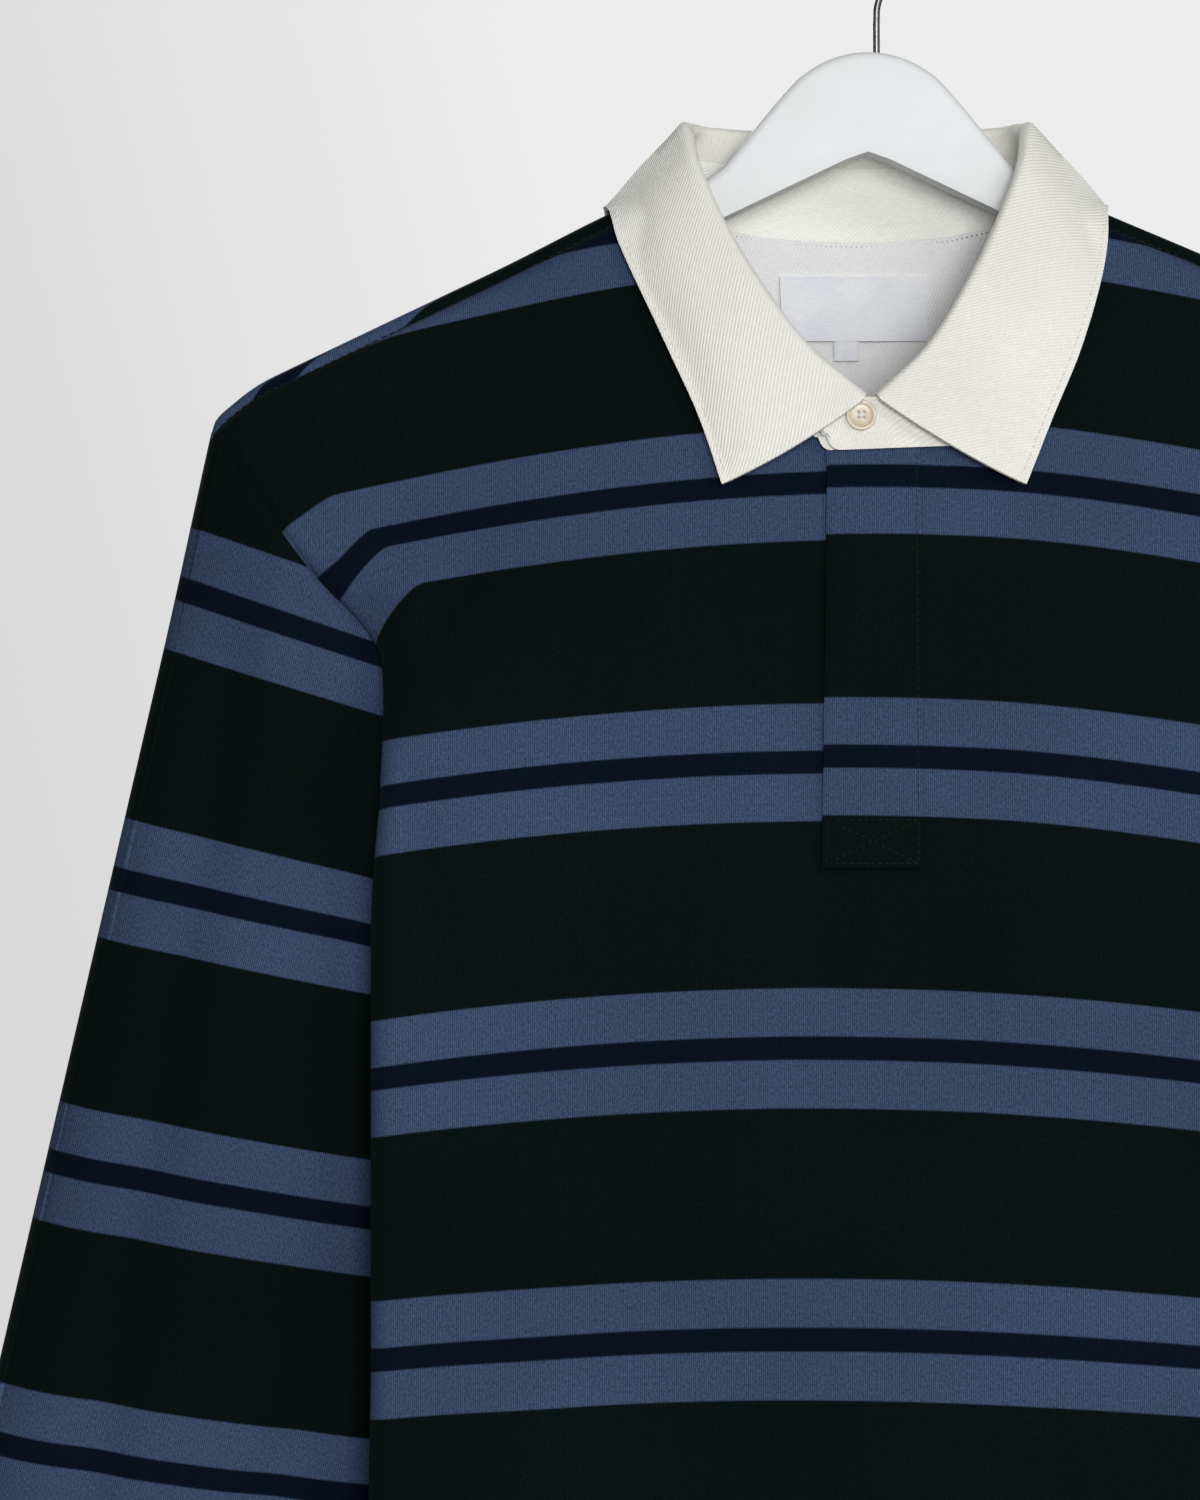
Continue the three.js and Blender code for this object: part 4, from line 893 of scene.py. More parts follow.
def makeButton():
    place, tilt = buttonPlace()
    obj = added("button_horn", bpy.ops.mesh.primitive_cylinder_add, vertices=64, radius=button["radius"] * mm,
                depth=button["thick"] * mm)
    bpy.ops.object.mode_set(mode="EDIT")
    bpy.ops.mesh.select_mode(type="FACE")
    bpy.ops.mesh.select_all(action="DESELECT")
    bpy.ops.object.mode_set(mode="OBJECT")
    for face in obj.data.polygons:
        face.select = face.normal.z > 0.9
    bpy.ops.object.mode_set(mode="EDIT")
    bpy.ops.mesh.inset(thickness=button["rim"] * mm)
    bpy.ops.mesh.inset(thickness=0.5 * mm, depth=-button["dish"] * mm)
    bpy.ops.mesh.inset(thickness=1.2 * mm, depth=-0.1 * mm)
    bpy.ops.object.mode_set(mode="OBJECT")
    edge = obj.modifiers.new("edge", "BEVEL")
    edge.width = button["edge"] * mm
    edge.segments = 4
    edge.limit_method = "ANGLE"
    applyAll(obj)
    off = button["holeOff"] * mm
    for x, y in ((-off, -off), (off, -off), (off, off), (-off, off)):
        drill = added("drill", bpy.ops.mesh.primitive_cylinder_add, vertices=20, radius=button["hole"] * mm,
                      depth=8 * mm, location=(x, y, 0))
        cut = obj.modifiers.new("hole", "BOOLEAN")
        cut.object = drill
        cut.operation = "DIFFERENCE"
        applyAll(obj)
        pick(drill)
        bpy.ops.object.delete()
    obj.rotation_euler = (tilt, 0, 0)
    obj.location = place * mm
    pick(obj)
    bpy.ops.object.transform_apply(location=True, rotation=True, scale=True)
    shadeSoft(obj, 35)
    return obj


buttonDisc = makeButton()

# Pieces inside the back of the neck: the half-moon facing, the bare woven label and the bare size tab
facing = {"halfWidth": 68, "roundWidth": 72, "drop": 70, "columns": 60, "rows": 34, "depth": 2.5, "wall": 1.0,
          "tuck": 0.9}
label = {"left": -29, "right": 27.5, "top": 149.5, "bottom": 173.5, "depth": 4.2, "wall": 0.6, "bow": 0.7}
sizeTab = {"left": -9, "right": 0.5, "top": 172.6, "bottom": 181, "depth": 4.4, "wall": 0.45, "bow": 0.4}


def facingPlace(across, down):
    s = lerp(-facing["halfWidth"], facing["halfWidth"], across)
    top = along(backNeckline[::-1], "inS", "inT", abs(s)) - facing["tuck"]
    return s, top + facing["drop"] * math.sqrt(1 - (s / facing["roundWidth"]) ** 2) * down


def makeFacing():
    def place(across, down):
        s, t = facingPlace(across, down)
        soft = 0.25 * noiseAt(s / 14, t / 18, 5)
        edge = 0.35 * bell((1 - down) * facing["drop"] / 1.4 - 1.2, 1)
        return liftedPoint(s, t, 1, -(facing["depth"] + soft - edge)), (s, t)

    obj = sheetOf("neck_facing_cloth", steps(facing["rows"]), steps(facing["columns"]), place)
    return thickened(obj, facing["wall"], False)


def makePatch(name, patch, columns, rows):
    def place(fx, fy):
        s, t = lerp(patch["left"], patch["right"], fx), lerp(patch["top"], patch["bottom"], fy)
        ends = bell(fx, 0.05) + bell(1 - fx, 0.05)
        lift = patch["bow"] * math.sin(math.pi * fx) + 0.2 * math.sin(9 * fx + 2 * fy) - 0.4 * ends
        return liftedPoint(s, t, 1, -(patch["depth"] + lift)), (s, t)

    return thickened(sheetOf(name, steps(rows), steps(columns), place), patch["wall"], False)


facingCloth = makeFacing()
labelCloth = makePatch("neck_label_weave", label, 40, 16)
tabCloth = makePatch("size_tab_weave", sizeTab, 12, 10)
print("neck pieces made")

# Hanger: a flat wooden arch, its edges rounded over; the hook's wire reaches down into its top
hanger = {"half": 228, "thick": 15, "round": 3.4, "topZ": -62, "apexZ": -98.5, "undercut": 0.475, "underRidge": 4.4,
          "lowerRound": 1.0, "stations": [64, 74, 85, 96, 113, 130, 148, 165, 183, 200, 210, 218]}


def bezier(a, b, c, d):
    return [tuple((1 - f) ** 3 * a[k] + 3 * (1 - f) ** 2 * f * b[k] + 3 * (1 - f) * f * f * c[k] + f ** 3 * d[k]
                  for k in (0, 1)) for f in steps(14)]


def hangerHalf(hand):
    top, end = hanger["topZ"], hanger["half"]

    def armTop(x):
        beside = 1 - smooth((x - shirt["leanWidth"]) / shirt["leanFade"])
        return -ridgeT(x - hand * shirt["lean"] * beside) - hanger["underRidge"]

    def armBottom(x):
        return hanger["apexZ"] - hanger["undercut"] * x

    crown = bezier((0, top), (11, top), (19, top - 4.5), (25, top - 9))
    neck = bezier((25, top - 9), (34, top - 17.5), (44, top - 31.5), (54, top - 43))[1:]
    arm = [(x, armTop(x)) for x in hanger["stations"]]
    arm += [(end - 3, armTop(end - 3) - 1), (end, (armTop(end) + armBottom(end)) / 2), (end - 6, armBottom(end - 6)),
            (8, armBottom(8))]
    middle = shirt["shiftX"]
    return [(hand * x + middle, z) for x, z in crown + neck + arm] + [(middle, hanger["apexZ"] - 1)]


def roundEdges(obj, upper, width, segments):
    # the upper outline is rounded over, the lower one only broken
    bpy.ops.object.mode_set(mode="EDIT")
    bpy.ops.mesh.select_mode(type="EDGE")
    bpy.ops.mesh.select_all(action="DESELECT")
    bpy.ops.object.mode_set(mode="OBJECT")
    half = hanger["thick"] / 2 * mm - 1e-6
    for side in obj.data.edges:
        a, b = (obj.data.vertices[i].co for i in side.vertices)
        onFace = a.y * b.y > 0 and min(abs(a.y), abs(b.y)) > half
        middle = (a + b) / 2 / mm
        low = middle.z < hanger["apexZ"] - hanger["undercut"] * abs(middle.x - shirt["shiftX"]) + 2
        side.select = onFace and low != upper
    bpy.ops.object.mode_set(mode="EDIT")
    bpy.ops.mesh.bevel(offset=width * mm, segments=segments, affect="EDGES", clamp_overlap=True)
    bpy.ops.object.mode_set(mode="OBJECT")


def makeHangerBody():
    outline = hangerHalf(1) + hangerHalf(-1)[1:-1][::-1]
    obj = added("hanger_wood", bpy.ops.mesh.primitive_circle_add, vertices=len(outline), radius=0.1, fill_type="NGON")
    for vertex, (x, z) in zip(obj.data.vertices, outline):
        vertex.co = (x * mm, -hanger["thick"] / 2 * mm, z * mm)
    editAll(bpy.ops.mesh.extrude_region_move, TRANSFORM_OT_translate={"value": (0, hanger["thick"] * mm, 0)})
    editAll(bpy.ops.mesh.normals_make_consistent, inside=False)
    roundEdges(obj, True, hanger["round"], 6)
    roundEdges(obj, False, hanger["lowerRound"], 3)
    shadeSoft(obj, 50)
    return obj


hangerWood = makeHangerBody()

hook = {"wire": 1.3, "inner": 16, "seat": 12, "steps": 150, "sides": 20}


def makeHook():
    bend = hook["inner"] + hook["wire"]
    points = [(0, hanger["topZ"] - hook["seat"]), (0, hanger["topZ"]), (0, -bend - 31), (0.3, -bend - 27),
              (3.4, -bend - 19), (9.6, -bend - 13.4)]
    for f in steps(9):
        angle = math.radians(lerp(-34, 208, f))
        points.append((bend * math.cos(angle), -hook["inner"] + bend * math.sin(angle)))
    line = Spline([(x, 0, z) for x, z in points], 10)
    obj = added("hook_steel", bpy.ops.mesh.primitive_circle_add, vertices=hook["sides"], radius=hook["wire"] * mm,
                fill_type="NGON", location=(0, 0, points[0][1] * mm))
    bpy.ops.object.transform_apply(location=True)
    bpy.ops.object.mode_set(mode="EDIT")
    bpy.ops.mesh.select_all(action="SELECT")
    path = [line.at(f) for f in steps(hook["steps"])]
    tilt = 0.0
    for a, b, c in zip(path, path[1:], path[2:] + [path[-1] * 2 - path[-2]]):
        bpy.ops.mesh.extrude_region_move(TRANSFORM_OT_translate={"value": tuple((b - a) * mm)})
        want = math.atan2(c.x - b.x, c.z - b.z)
        bpy.ops.transform.rotate(value=-(want - tilt), orient_axis="Y", center_override=tuple(b * mm))
        tilt = want
    editAll(bpy.ops.mesh.normals_make_consistent, inside=False)
    shadeSoft(obj, 50)
    return obj


hookSteel = makeHook()
print("hanger and hook made")

# Stitches: one short thread is modelled, set in a row, and each is laid along its seam
stitches = {"dark": [], "pale": [], "grey": []}
thread = {"plain": (0.3, 2.3, 1.1), "hem": (0.3, 2.3, 1.6), "box": (0.2, 1.7, 0.8), "edge": (0.24, 2.0, 1.0),
          "seam": (0.42, 1.0, 0.9), "label": (0.2, 1.0, 0.9), "sink": 0.05}


def stitchLine(kind, name, path, sizes):
    # path holds places on the cloth and the way out of it there; sizes are radius, length and gap
    radius, length, gap = sizes
    run = runOf([p for p, _ in path])
    count = max(int(run[-1] / (length + gap)), 1)
    obj = added(name, bpy.ops.mesh.primitive_uv_sphere_add, segments=6, ring_count=4, radius=1)
    shape = [v.co.copy() for v in obj.data.vertices]
    row = obj.modifiers.new("row", "ARRAY")
    row.count = count
    row.relative_offset_displace = (0, 0, 1.5)
    applyAll(obj)

    def placeAt(want):
        i, f = spotOn(run, want)
        return path[i][0].lerp(path[i + 1][0], f), path[i][1].lerp(path[i + 1][1], f).normalized()

    flat = []
    for n in range(count):
        start = run[-1] * (n + 0.5) / count
        middle, out = placeAt(start)
        way = (placeAt(start + length / 2)[0] - placeAt(start - length / 2)[0]).normalized()
        beside = way.cross(out).normalized()
        for v in shape:
            lift = radius * (1 - 0.9 * v.z * v.z) - thread["sink"]
            p = middle + way * (v.z * length / 2) + beside * (v.x * radius) + out * (v.y * radius * 0.8 + lift)
            flat += [c * mm for c in p]
    obj.data.vertices.foreach_set("co", flat)
    obj.data.update()
    pick(obj)
    editAll(bpy.ops.mesh.normals_make_consistent, inside=False)
    bpy.ops.object.shade_smooth()
    stitches[kind].append(obj)


def onBody(s, t, side):
    # a place on the panel's outer face, with the seam's own dip and puff left out
    return leaned(bodyPoint(s, t, side)), bodyNormal(s, t, side)


def insideNeck(s, t, depth):
    return leaned(liftedPoint(s, t, 1, -depth)), -bodyNormal(s, t, 1)


def shoulderLine(hand, inset):
    across = [lerp(shirt["neckHalf"] + 2, 244, f) for f in steps(59)]
    return [onBody(hand * s, ridgeAt(s) + shirt["seamArc"] + inset, -1) for s in across]


def armholeLine(side, hand, inset):
    rows = coarseRows(side)
    path = []
    for f in steps(89):
        k = lerp(0.35 if side < 0 else 0.6, armEnd(side) - 0.4, f)
        row = rowEnds(side, rows, k)
        path.append(onBody(*clothPoint(side, hand, row, row["outS"] - inset, k), side))
    return path


for hand, word in handWords.items():
    for inset in (2.2, 7.5):
        stitchLine("dark", f"shoulder_stitch_{word}_{int(inset)}", shoulderLine(hand, inset), thread["plain"])
    for side, panelWord in sideWords.items():
        stitchLine("dark", f"armhole_stitch_{panelWord}_{word}", armholeLine(side, hand, 5), thread["plain"])
for side, panelWord in sideWords.items():
    for inset in (22, 19):
        path = [onBody(lerp(-278, 278, f), shirt["hem"] - inset, side) for f in steps(200)]
        stitchLine("dark", f"hem_stitch_{panelWord}_{inset}", path, thread["hem"])


def placketStitchPath(ends):
    path = []
    for (fA, tA), (fB, tB) in zip(ends, ends[1:]):
        for f in steps(max(int(abs(tB - tA) / 4), 6)):
            path.append((leaned(placketPoint(lerp(fA, fB, f), lerp(tA, tB, f))), Vector((0, -1, 0))))
    return path


topLeft, topRight, lowLeft, lowRight = (0.05, 354.6), (0.95, 354.6), (0.05, 370.4), (0.95, 370.4)
placketRows = {"right": [(0.945, 221), (0.945, 351)], "box_top": [topLeft, topRight],
               "box": [topRight, lowRight, lowLeft, topLeft], "cross_a": [topLeft, lowRight],
               "cross_b": [topRight, lowLeft]}
for word, ends in placketRows.items():
    stitchLine("dark", f"placket_stitch_{word}", placketStitchPath(ends), thread["box"])


def leafEdgeLine(back):
    # a row along the leaf's outer edge
    path = []
    for i in range(back, len(leafRows) - back):
        line, before, after = leafRows[i], leafRows[i - 1], leafRows[i + 1]
        inner, edge = line[-5], line[-1]
        p = edge.lerp(inner, clamp(collar["edgeSeam"] / max((edge - inner).length, 1e-3)))
        out = (after[-3] - before[-3]).cross(edge - line[-6]).normalized()
        if out.dot(Vector((p.x * 0.2, p.y, 30))) < 0:
            out = -out
        path.append((p, out))
    return path


stitchLine("pale", "leaf_edge_stitch", leafEdgeLine(4), thread["edge"])

# a grey run of thread where the facing meets the stand, and the label's two stitched ends
path = []
for f in steps(79):
    s, t = facingPlace(f, 0)
    path.append((insideNeck(s, t + 1.3, facing["depth"] + 0.4)[0], -bodyNormal(s, t, 1)))
stitchLine("grey", "facing_seam_stitch", path, thread["seam"])
path = []
for f in steps(89):
    s, t = facingPlace(lerp(0.02, 0.98, f), 1)
    path.append((insideNeck(s, t - 2.4, facing["depth"])[0], -bodyNormal(s, t, 1)))
stitchLine("pale", "facing_edge_stitch", path, thread["edge"])
for word, s in (("left", label["left"] + 1.6), ("right", label["right"] - 1.6)):
    downs = [lerp(label["top"] + 1, label["bottom"] - 1, f) for f in steps(15)]
    path = [insideNeck(s, t, label["depth"] - 0.15) for t in downs]
    stitchLine("grey", f"label_stitch_{word}", path, thread["label"])

# the button's crossed thread
buttonAt, buttonTilt = buttonPlace()
crossOut = Vector((0, -math.sin(buttonTilt), math.cos(buttonTilt)))
crossUp = Vector((0, math.cos(buttonTilt), math.sin(buttonTilt)))
crossSide = Vector((1, 0, 0))
reach = button["holeOff"]
for word, slope in (("a", 1), ("b", -1)):
    for n, off in enumerate((-0.28, 0.28)):
        high = button["thick"] / 2 - button["dish"] + 0.05 + 0.2 * (slope > 0)
        at = buttonAt + crossOut * high + (crossSide * -slope + crossUp) * (off / math.sqrt(2))
        path = [(at + (crossSide + crossUp * slope) * (reach * f), crossOut) for f in (-1, -0.5, 0, 0.5, 1)]
        stitchLine("pale", f"button_thread_{word}{n}", path, (0.3, reach * 2.6, 0.1))
print("stitches laid")


class NodeSet:
    # short calls for the nodes that the finishes share
    def __init__(self, owner):
        self.nodes = owner.node_tree.nodes
        self.links = owner.node_tree.links

    def add(self, kind, **settings):
        node = self.nodes.new(kind)
        for key, value in settings.items():
            setattr(node, key, value)
        return node

    def plug(self, value, socket):
        # the value is another node's output, a number or a colour
        if hasattr(value, "links"):
            self.links.new(value, socket)
        else:
            socket.default_value = (*value, 1) if isinstance(value, tuple) else value

    def math(self, operation, a, *others):
        for b in others or (0.0,):
            node = self.add("ShaderNodeMath", operation=operation)
            self.plug(a, node.inputs[0])
            self.plug(b, node.inputs[1])
            a = node.outputs[0]
        return a

    def wave(self, value, factor):
        return self.math("SINE", self.math("MULTIPLY", value, factor))

    def mix(self, factor, a, b, blend="MIX"):
        node = self.add("ShaderNodeMix", data_type="RGBA", blend_type=blend)
        for i, value in ((0, factor), (6, a), (7, b)):
            self.plug(value, node.inputs[i])
        return node.outputs[2]

    def tint(self, base, *shades):
        # a colour multiplied by plain shades
        shade = self.math("MULTIPLY", *shades)
        grey = self.add("ShaderNodeCombineXYZ")
        for i in range(3):
            self.links.new(shade, grey.inputs[i])
        return self.mix(1.0, base, grey.outputs[0], "MULTIPLY")

    def split(self, vector):
        node = self.add("ShaderNodeSeparateXYZ")
        self.links.new(vector, node.inputs[0])
        return node.outputs

    def clothMap(self):
        return self.split(self.add("ShaderNodeUVMap").outputs[0])[:2]

    def place(self, scale=(1, 1, 1), useMap=False):
        source = self.add("ShaderNodeUVMap").outputs[0] if useMap else self.add("ShaderNodeTexCoord").outputs["Object"]
        mapping = self.add("ShaderNodeMapping")
        mapping.inputs["Scale"].default_value = scale
        self.links.new(source, mapping.inputs["Vector"])
        return mapping.outputs[0]

    def noise(self, scale, detail=3.0, stretch=(1, 1, 1), useMap=False):
        node = self.add("ShaderNodeTexNoise")
        self.links.new(self.place(stretch, useMap), node.inputs["Vector"])
        node.inputs["Scale"].default_value = scale
        node.inputs["Detail"].default_value = detail
        return node.outputs["Fac"]

    def ranged(self, value, *ends):
        # from the first two ends to the last two
        node = self.add("ShaderNodeMapRange")
        self.plug(value, node.inputs[0])
        for i, end in enumerate(ends):
            node.inputs[i + 1].default_value = end
        return node.outputs[0]

    def finish(self, base, height, strength, distance, **more):
        bump = self.add("ShaderNodeBump")
        self.plug(height, bump.inputs["Height"])
        bump.inputs["Strength"].default_value = strength
        bump.inputs["Distance"].default_value = distance
        self.links.new(bump.outputs[0], self.shader.inputs["Normal"])
        self.plug(base, self.shader.inputs["Base Color"])
        for name, value in more.items():
            self.plug(value, self.shader.inputs[name.replace("_", " ")])


def startMaterial(name, roughness, specular=0.5):
    material = bpy.data.materials.new(name)
    material.use_nodes = True
    tools = NodeSet(material)
    tools.shader = material.node_tree.nodes["Principled BSDF"]
    tools.shader.inputs["Roughness"].default_value = roughness
    tools.shader.inputs["Specular IOR Level"].default_value = specular
    return material, tools


yarn = {
    "green": (0.0011, 0.005, 0.0044), "navy": (0.0014, 0.0042, 0.0125), "blue": (0.042, 0.068, 0.132),
    # the stand's cream is the leaf's cream made lighter: painted light for the inside of the neck, which the hanger
    # shades
    "cream": (0.80, 0.79, 0.745), "stand": (0.89, 0.88, 0.84), "facing": (0.87, 0.875, 0.875),
    "label": (0.92, 0.93, 0.97), "paleThread": (0.84, 0.82, 0.77), "darkThread": (0.001, 0.003, 0.003),
    "greyThread": (0.12, 0.11, 0.11), "walePitch": 0.00078, "coursePitch": 0.0006, "sheen": 0.02, "sheenRoughness": 0.4,
    "stripeEdge": 0.006,
}


def knitHeight(tools, u, v, pitch, course):
    # columns of small v-shaped loops
    column = tools.math("FRACT", tools.math("DIVIDE", u, pitch))
    slant = tools.math("ABSOLUTE", tools.math("SUBTRACT", column, 0.5))
    rise = tools.math("ADD", tools.math("DIVIDE", v, course), tools.math("MULTIPLY", slant, 1.1))
    return tools.math("ADD", tools.wave(column, math.pi), tools.math("MULTIPLY", tools.wave(rise, 2 * math.pi), 0.3))


def jerseyMaterial():
    material, tools = startMaterial("striped_jersey", 0.86, 0.06)
    u, v = tools.clothMap()
    fromNavy = tools.math("PINGPONG", tools.math("DIVIDE", v, stripes["period"] * mm), 0.5)
    ramp = tools.add("ShaderNodeValToRGB")
    tools.links.new(tools.math("MULTIPLY", fromNavy, 2.0), ramp.inputs[0])
    navyEnd, blueEnd = (2 * stripes[name] / stripes["period"] for name in ("navyHalf", "blueHalf"))
    soft = yarn["stripeEdge"]
    stops = [(0, "navy"), (navyEnd - soft, "navy"), (navyEnd + soft, "blue"), (blueEnd - soft, "blue"),
             (blueEnd + soft, "green"), (1, "green")]
    elements = ramp.color_ramp.elements
    while len(elements) < len(stops):
        elements.new(0.5)
    for element, (at, name) in zip(elements, stops):
        element.position = at
        element.color = (*yarn[name], 1)
    height = knitHeight(tools, u, v, yarn["walePitch"], yarn["coursePitch"])
    streak = tools.ranged(tools.noise(1.0, 4, (1300, 800, 1), True), 0.3, 0.7, 0.68, 1.36)
    patch = tools.ranged(tools.noise(9, 3), 0.3, 0.7, 0.9, 1.12)
    # streak and patch are the yarn's own uneven tone; the last shade follows the loops' height, darker in the grooves
    # and lighter on the tops: painted shade and highlight
    grooveShadeAndHighlight = tools.ranged(height, 0.0, 1.2, 0.45, 1.28)
    tools.finish(tools.tint(ramp.outputs[0], streak, patch, grooveShadeAndHighlight), height, 0.5, 0.00022, Sheen_Weight=yarn["sheen"],
                 Sheen_Roughness=yarn["sheenRoughness"], Sheen_Tint=(0.75, 0.85, 0.9))
    return material


def ribMaterial():
    material, tools = startMaterial("cuff_rib_knit", 0.88, 0.06)
    height = knitHeight(tools, *tools.clothMap(), 0.0008, 0.0007)
    patch = tools.ranged(tools.noise(60, 4), 0.3, 0.7, 0.8, 1.25)
    # patch is the yarn's own uneven tone; the shade from the loops' height makes the rib darker in its hollows, a
    # painted shade
    base = tools.tint(yarn["green"], patch, tools.ranged(height, 0, 1.2, 0.6, 1.1))
    tools.finish(base, height, 0.5, 0.0002, Sheen_Weight=yarn["sheen"], Sheen_Roughness=yarn["sheenRoughness"])
    return material


def twillMaterial(name, colour, pitch, slope, depth, warm):
    # diagonal ridges of a woven twill, with the odd thicker yarn
    material, tools = startMaterial(name, 0.82, 0.3)
    u, v = tools.clothMap()
    across = tools.math("ADD", tools.math("MULTIPLY", u, math.sin(slope)), tools.math("MULTIPLY", v, math.cos(slope)))
    yarns = tools.math("MULTIPLY", tools.wave(v, 2 * math.pi / (pitch * 0.6)), 0.35)
    height = tools.math("ADD", tools.wave(across, 2 * math.pi / pitch), yarns)
    slub = tools.ranged(tools.noise(1.0, 3, (250, 1600, 1), True), 0.3, 0.7, 0.95, 1.04)
    cloud = tools.ranged(tools.noise(14, 3), 0.3, 0.7, 0.965, 1.03)
    base = tools.mix(tools.ranged(tools.noise(22, 2), 0.35, 0.65, 0, 1), colour, warm)
    # slub and cloud are the yarn's own unevenness; the shade from the ridges' height makes the twill darker in the
    # valleys between them, a painted shade
    base = tools.tint(base, slub, cloud, tools.ranged(height, -1.2, 1.0, 0.91, 1.02))
    tools.finish(base, height, 0.45, depth, Sheen_Weight=0.08)
    return material


def hornMaterial():
    material, tools = startMaterial("button_horn", 0.28, 0.5)
    wave = tools.add("ShaderNodeTexWave", wave_type="BANDS", bands_direction="DIAGONAL")
    tools.links.new(tools.place(), wave.inputs["Vector"])
    for name, value in (("Scale", 90), ("Distortion", 6), ("Detail", 2)):
        wave.inputs[name].default_value = value
    base = tools.mix(tools.ranged(wave.outputs["Fac"], 0, 1, 0, 0.55), (0.6, 0.52, 0.41), (0.48, 0.4, 0.29))
    tools.finish(base, tools.noise(900, 2), 0.08, 0.0001,
                 Roughness=tools.ranged(tools.noise(400, 2), 0.3, 0.7, 0.22, 0.36))
    return material


def paintMaterial():
    material, tools = startMaterial("hanger_white_paint", 0.5, 0.4)
    grain = tools.noise(1.0, 4, (18, 140, 160))
    base = tools.mix(tools.ranged(tools.noise(24, 4), 0.4, 0.7, 0, 1), (0.70, 0.72, 0.73), (0.68, 0.695, 0.695))
    height = tools.math("ADD", grain, tools.math("MULTIPLY", tools.noise(700, 2), 0.4))
    tools.finish(base, height, 0.1, 0.0002, Roughness=tools.ranged(grain, 0.3, 0.7, 0.48, 0.58))
    return material


def steelMaterial():
    material, tools = startMaterial("hook_wire_steel", 0.3)
    base = tools.mix(tools.noise(300, 3), (0.13, 0.13, 0.135), (0.2, 0.2, 0.205))
    tools.finish(base, tools.noise(1500, 2), 0.1, 0.0001, Metallic=1.0,
                 Roughness=tools.ranged(tools.noise(500, 3), 0.3, 0.7, 0.24, 0.4))
    return material


def threadMaterial(name, colour):
    material, tools = startMaterial(name, 0.75, 0.35)
    base = tools.mix(tools.noise(900, 2), tuple(c * 0.75 for c in colour), colour)
    tools.finish(base, tools.noise(2500, 2), 0.4, 0.0002)
    return material


jersey = jerseyMaterial()
ribKnit = ribMaterial()
collarTwill = twillMaterial("collar_cream_twill", yarn["cream"], 0.0012, 0.8, 0.0002, (0.785, 0.77, 0.715))
# the stand is the leaf's own cream twill in a lighter copy, painted light standing in for the light that the hanger
# keeps from the inside of the neck
standTwillPaintedLight = twillMaterial("stand_twill_lightened", yarn["stand"], 0.0012, 0.8, 0.0002, (0.875, 0.86, 0.81))
facingTwill = twillMaterial("facing_pale_twill", yarn["facing"], 0.0012, 1.15, 0.00018, (0.78, 0.785, 0.78))
labelWeave = twillMaterial("label_pale_weave", yarn["label"], 0.0006, 1.57, 0.00008, (0.77, 0.78, 0.84))
horn, whitePaint, steel = hornMaterial(), paintMaterial(), steelMaterial()
paleThread = threadMaterial("thread_white", yarn["paleThread"])
darkThread = threadMaterial("thread_dark_green", yarn["darkThread"])
greyThread = threadMaterial("thread_grey", yarn["greyThread"])
print("materials made")

# Every piece: its finish and the solid that it stands for
finishPiece(frontCloth, jersey, "jersey", "front_panel")
finishPiece(backCloth, jersey, "jersey", "back_panel")
for hand, word in handWords.items():
    finishPiece(sleeveCloths[hand], jersey, "jersey", f"sleeve_{word}")
    finishPiece(cuffs[hand], ribKnit, "cuff_rib", f"cuff_{word}")
finishPiece(leafCloth, collarTwill, "collar_twill", "collar_fall")
finishPiece(standCloth, standTwillPaintedLight, "collar_twill", "collar_stand")
finishPiece(overBand, collarTwill, "collar_twill", "collar_band")
finishPiece(underBand, collarTwill, "collar_twill")
finishPiece(placketTop, jersey, "jersey", "placket_top")
finishPiece(placketUnder, jersey, "jersey", "placket_under")
finishPiece(facingCloth, facingTwill, "facing_twill", "neck_facing")
finishPiece(labelCloth, labelWeave, "label", "neck_label")
finishPiece(tabCloth, labelWeave, "label", "size_tab")
finishPiece(buttonDisc, horn, "button", "collar_button")
finishPiece(hangerWood, whitePaint, "hanger_paint", "hanger_body")
finishPiece(hookSteel, steel, "hook_wire", "hanger_hook")
for kind, material, slotName in (("dark", darkThread, "jersey"), ("pale", paleThread, "collar_twill"),
                                 ("grey", greyThread, "facing_twill")):
    for row in stitches[kind]:
        finishPiece(row, material, slotName)

print("pieces placed")

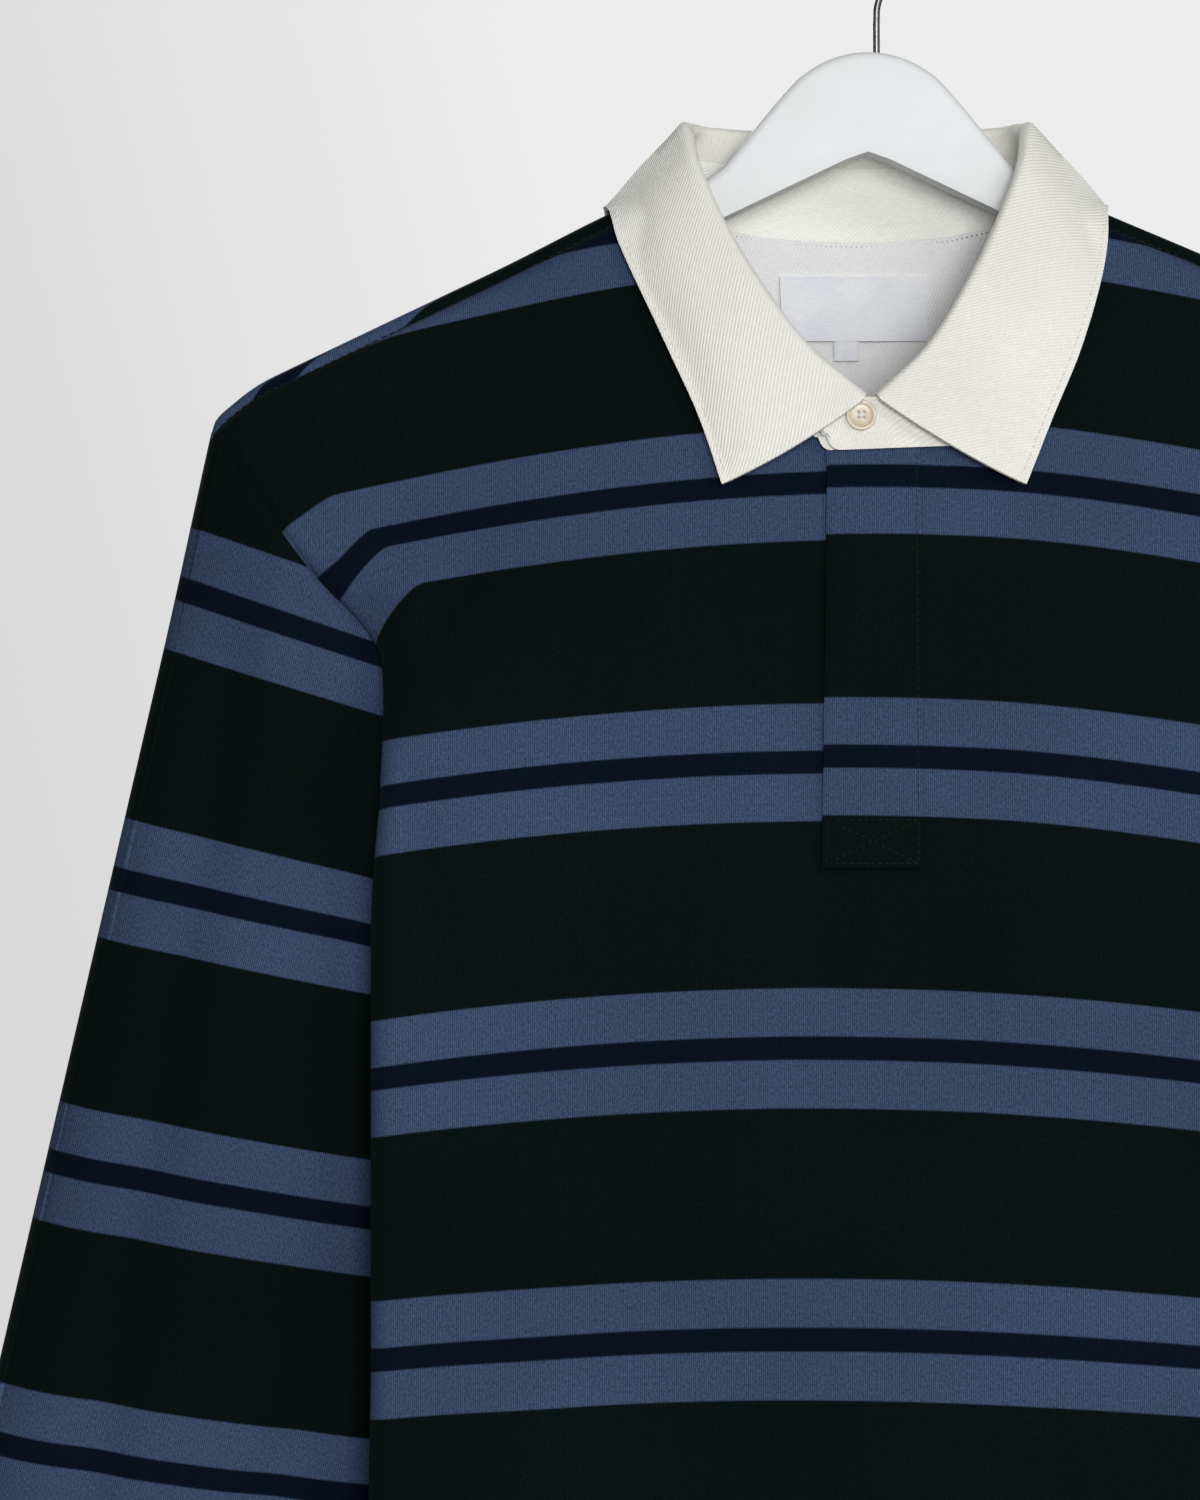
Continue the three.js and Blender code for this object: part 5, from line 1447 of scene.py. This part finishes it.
# Studio: pale floor below, a pale wall all round, light from the front and the right
for leftover in ("Cube", "Light"):
    if leftover in bpy.data.objects:
        pick(bpy.data.objects[leftover])
        bpy.ops.object.delete()

studio = {"floorZ": -1000, "floorHalf": 1400}
floor = added("floor", bpy.ops.mesh.primitive_circle_add, vertices=96, radius=studio["floorHalf"] * mm,
              fill_type="NGON", location=(0, 0, studio["floorZ"] * mm))
bpy.ops.object.transform_apply(location=True)
floorPaint, floorTools = startMaterial("floor_pale", 0.9, 0.2)
floorTools.plug(floorTools.mix(floorTools.noise(3, 3), (0.7, 0.7, 0.7), (0.74, 0.74, 0.74)),
                floorTools.shader.inputs["Base Color"])
floor.data.materials.append(floorPaint)

# name, place, aim, size and power of each lamp, in metres and watts
lamps = [
    ("front_light", (0.2, -2.3, 0.0), (0, 0, -0.25), 0.8, 34.5), ("key_light", (1.4, -1.6, 0.7), (0, 0, -0.3), 0.8, 11),
    ("fill_light", (-1.7, -1.9, 0.1), (0, 0, -0.4), 2.0, 2), ("back_light", (-0.5, 2.2, 0.8), (0, 0, -0.4), 1.4, 34),
]
for name, place, aim, size, power in lamps:
    lamp = added(name, bpy.ops.object.light_add, type="AREA", location=place)
    lamp.data.shape = "SQUARE"
    lamp.data.size = size
    lamp.data.energy = power
    lamp.rotation_euler = (Vector(aim) - Vector(place)).to_track_quat("-Z", "Y").to_euler()

bpy.context.scene.view_settings.view_transform = "Standard"
world = bpy.data.worlds.new("studio_wall")
bpy.context.scene.world = world
world.use_nodes = True
wall = NodeSet(world)
# the wall's colour runs darker towards the lower left: painted shade of the light from the right
across, _, up = wall.split(wall.add("ShaderNodeTexCoord").outputs["Generated"])
fall = wall.math("ADD", across, wall.math("MULTIPLY", up, 0.25))
background = world.node_tree.nodes["Background"]
wall.plug(wall.mix(wall.ranged(fall, -0.12, 0.02, 0, 1), (0.695, 0.695, 0.695), (0.838, 0.838, 0.838)),
          background.inputs[0])
# the wall is bright to look at, and lights the shirt less than the lamps do
seen = wall.add("ShaderNodeLightPath").outputs["Is Camera Ray"]
wall.plug(wall.ranged(seen, 0, 1, 0.3, 1.0), background.inputs[1])
print("studio made")
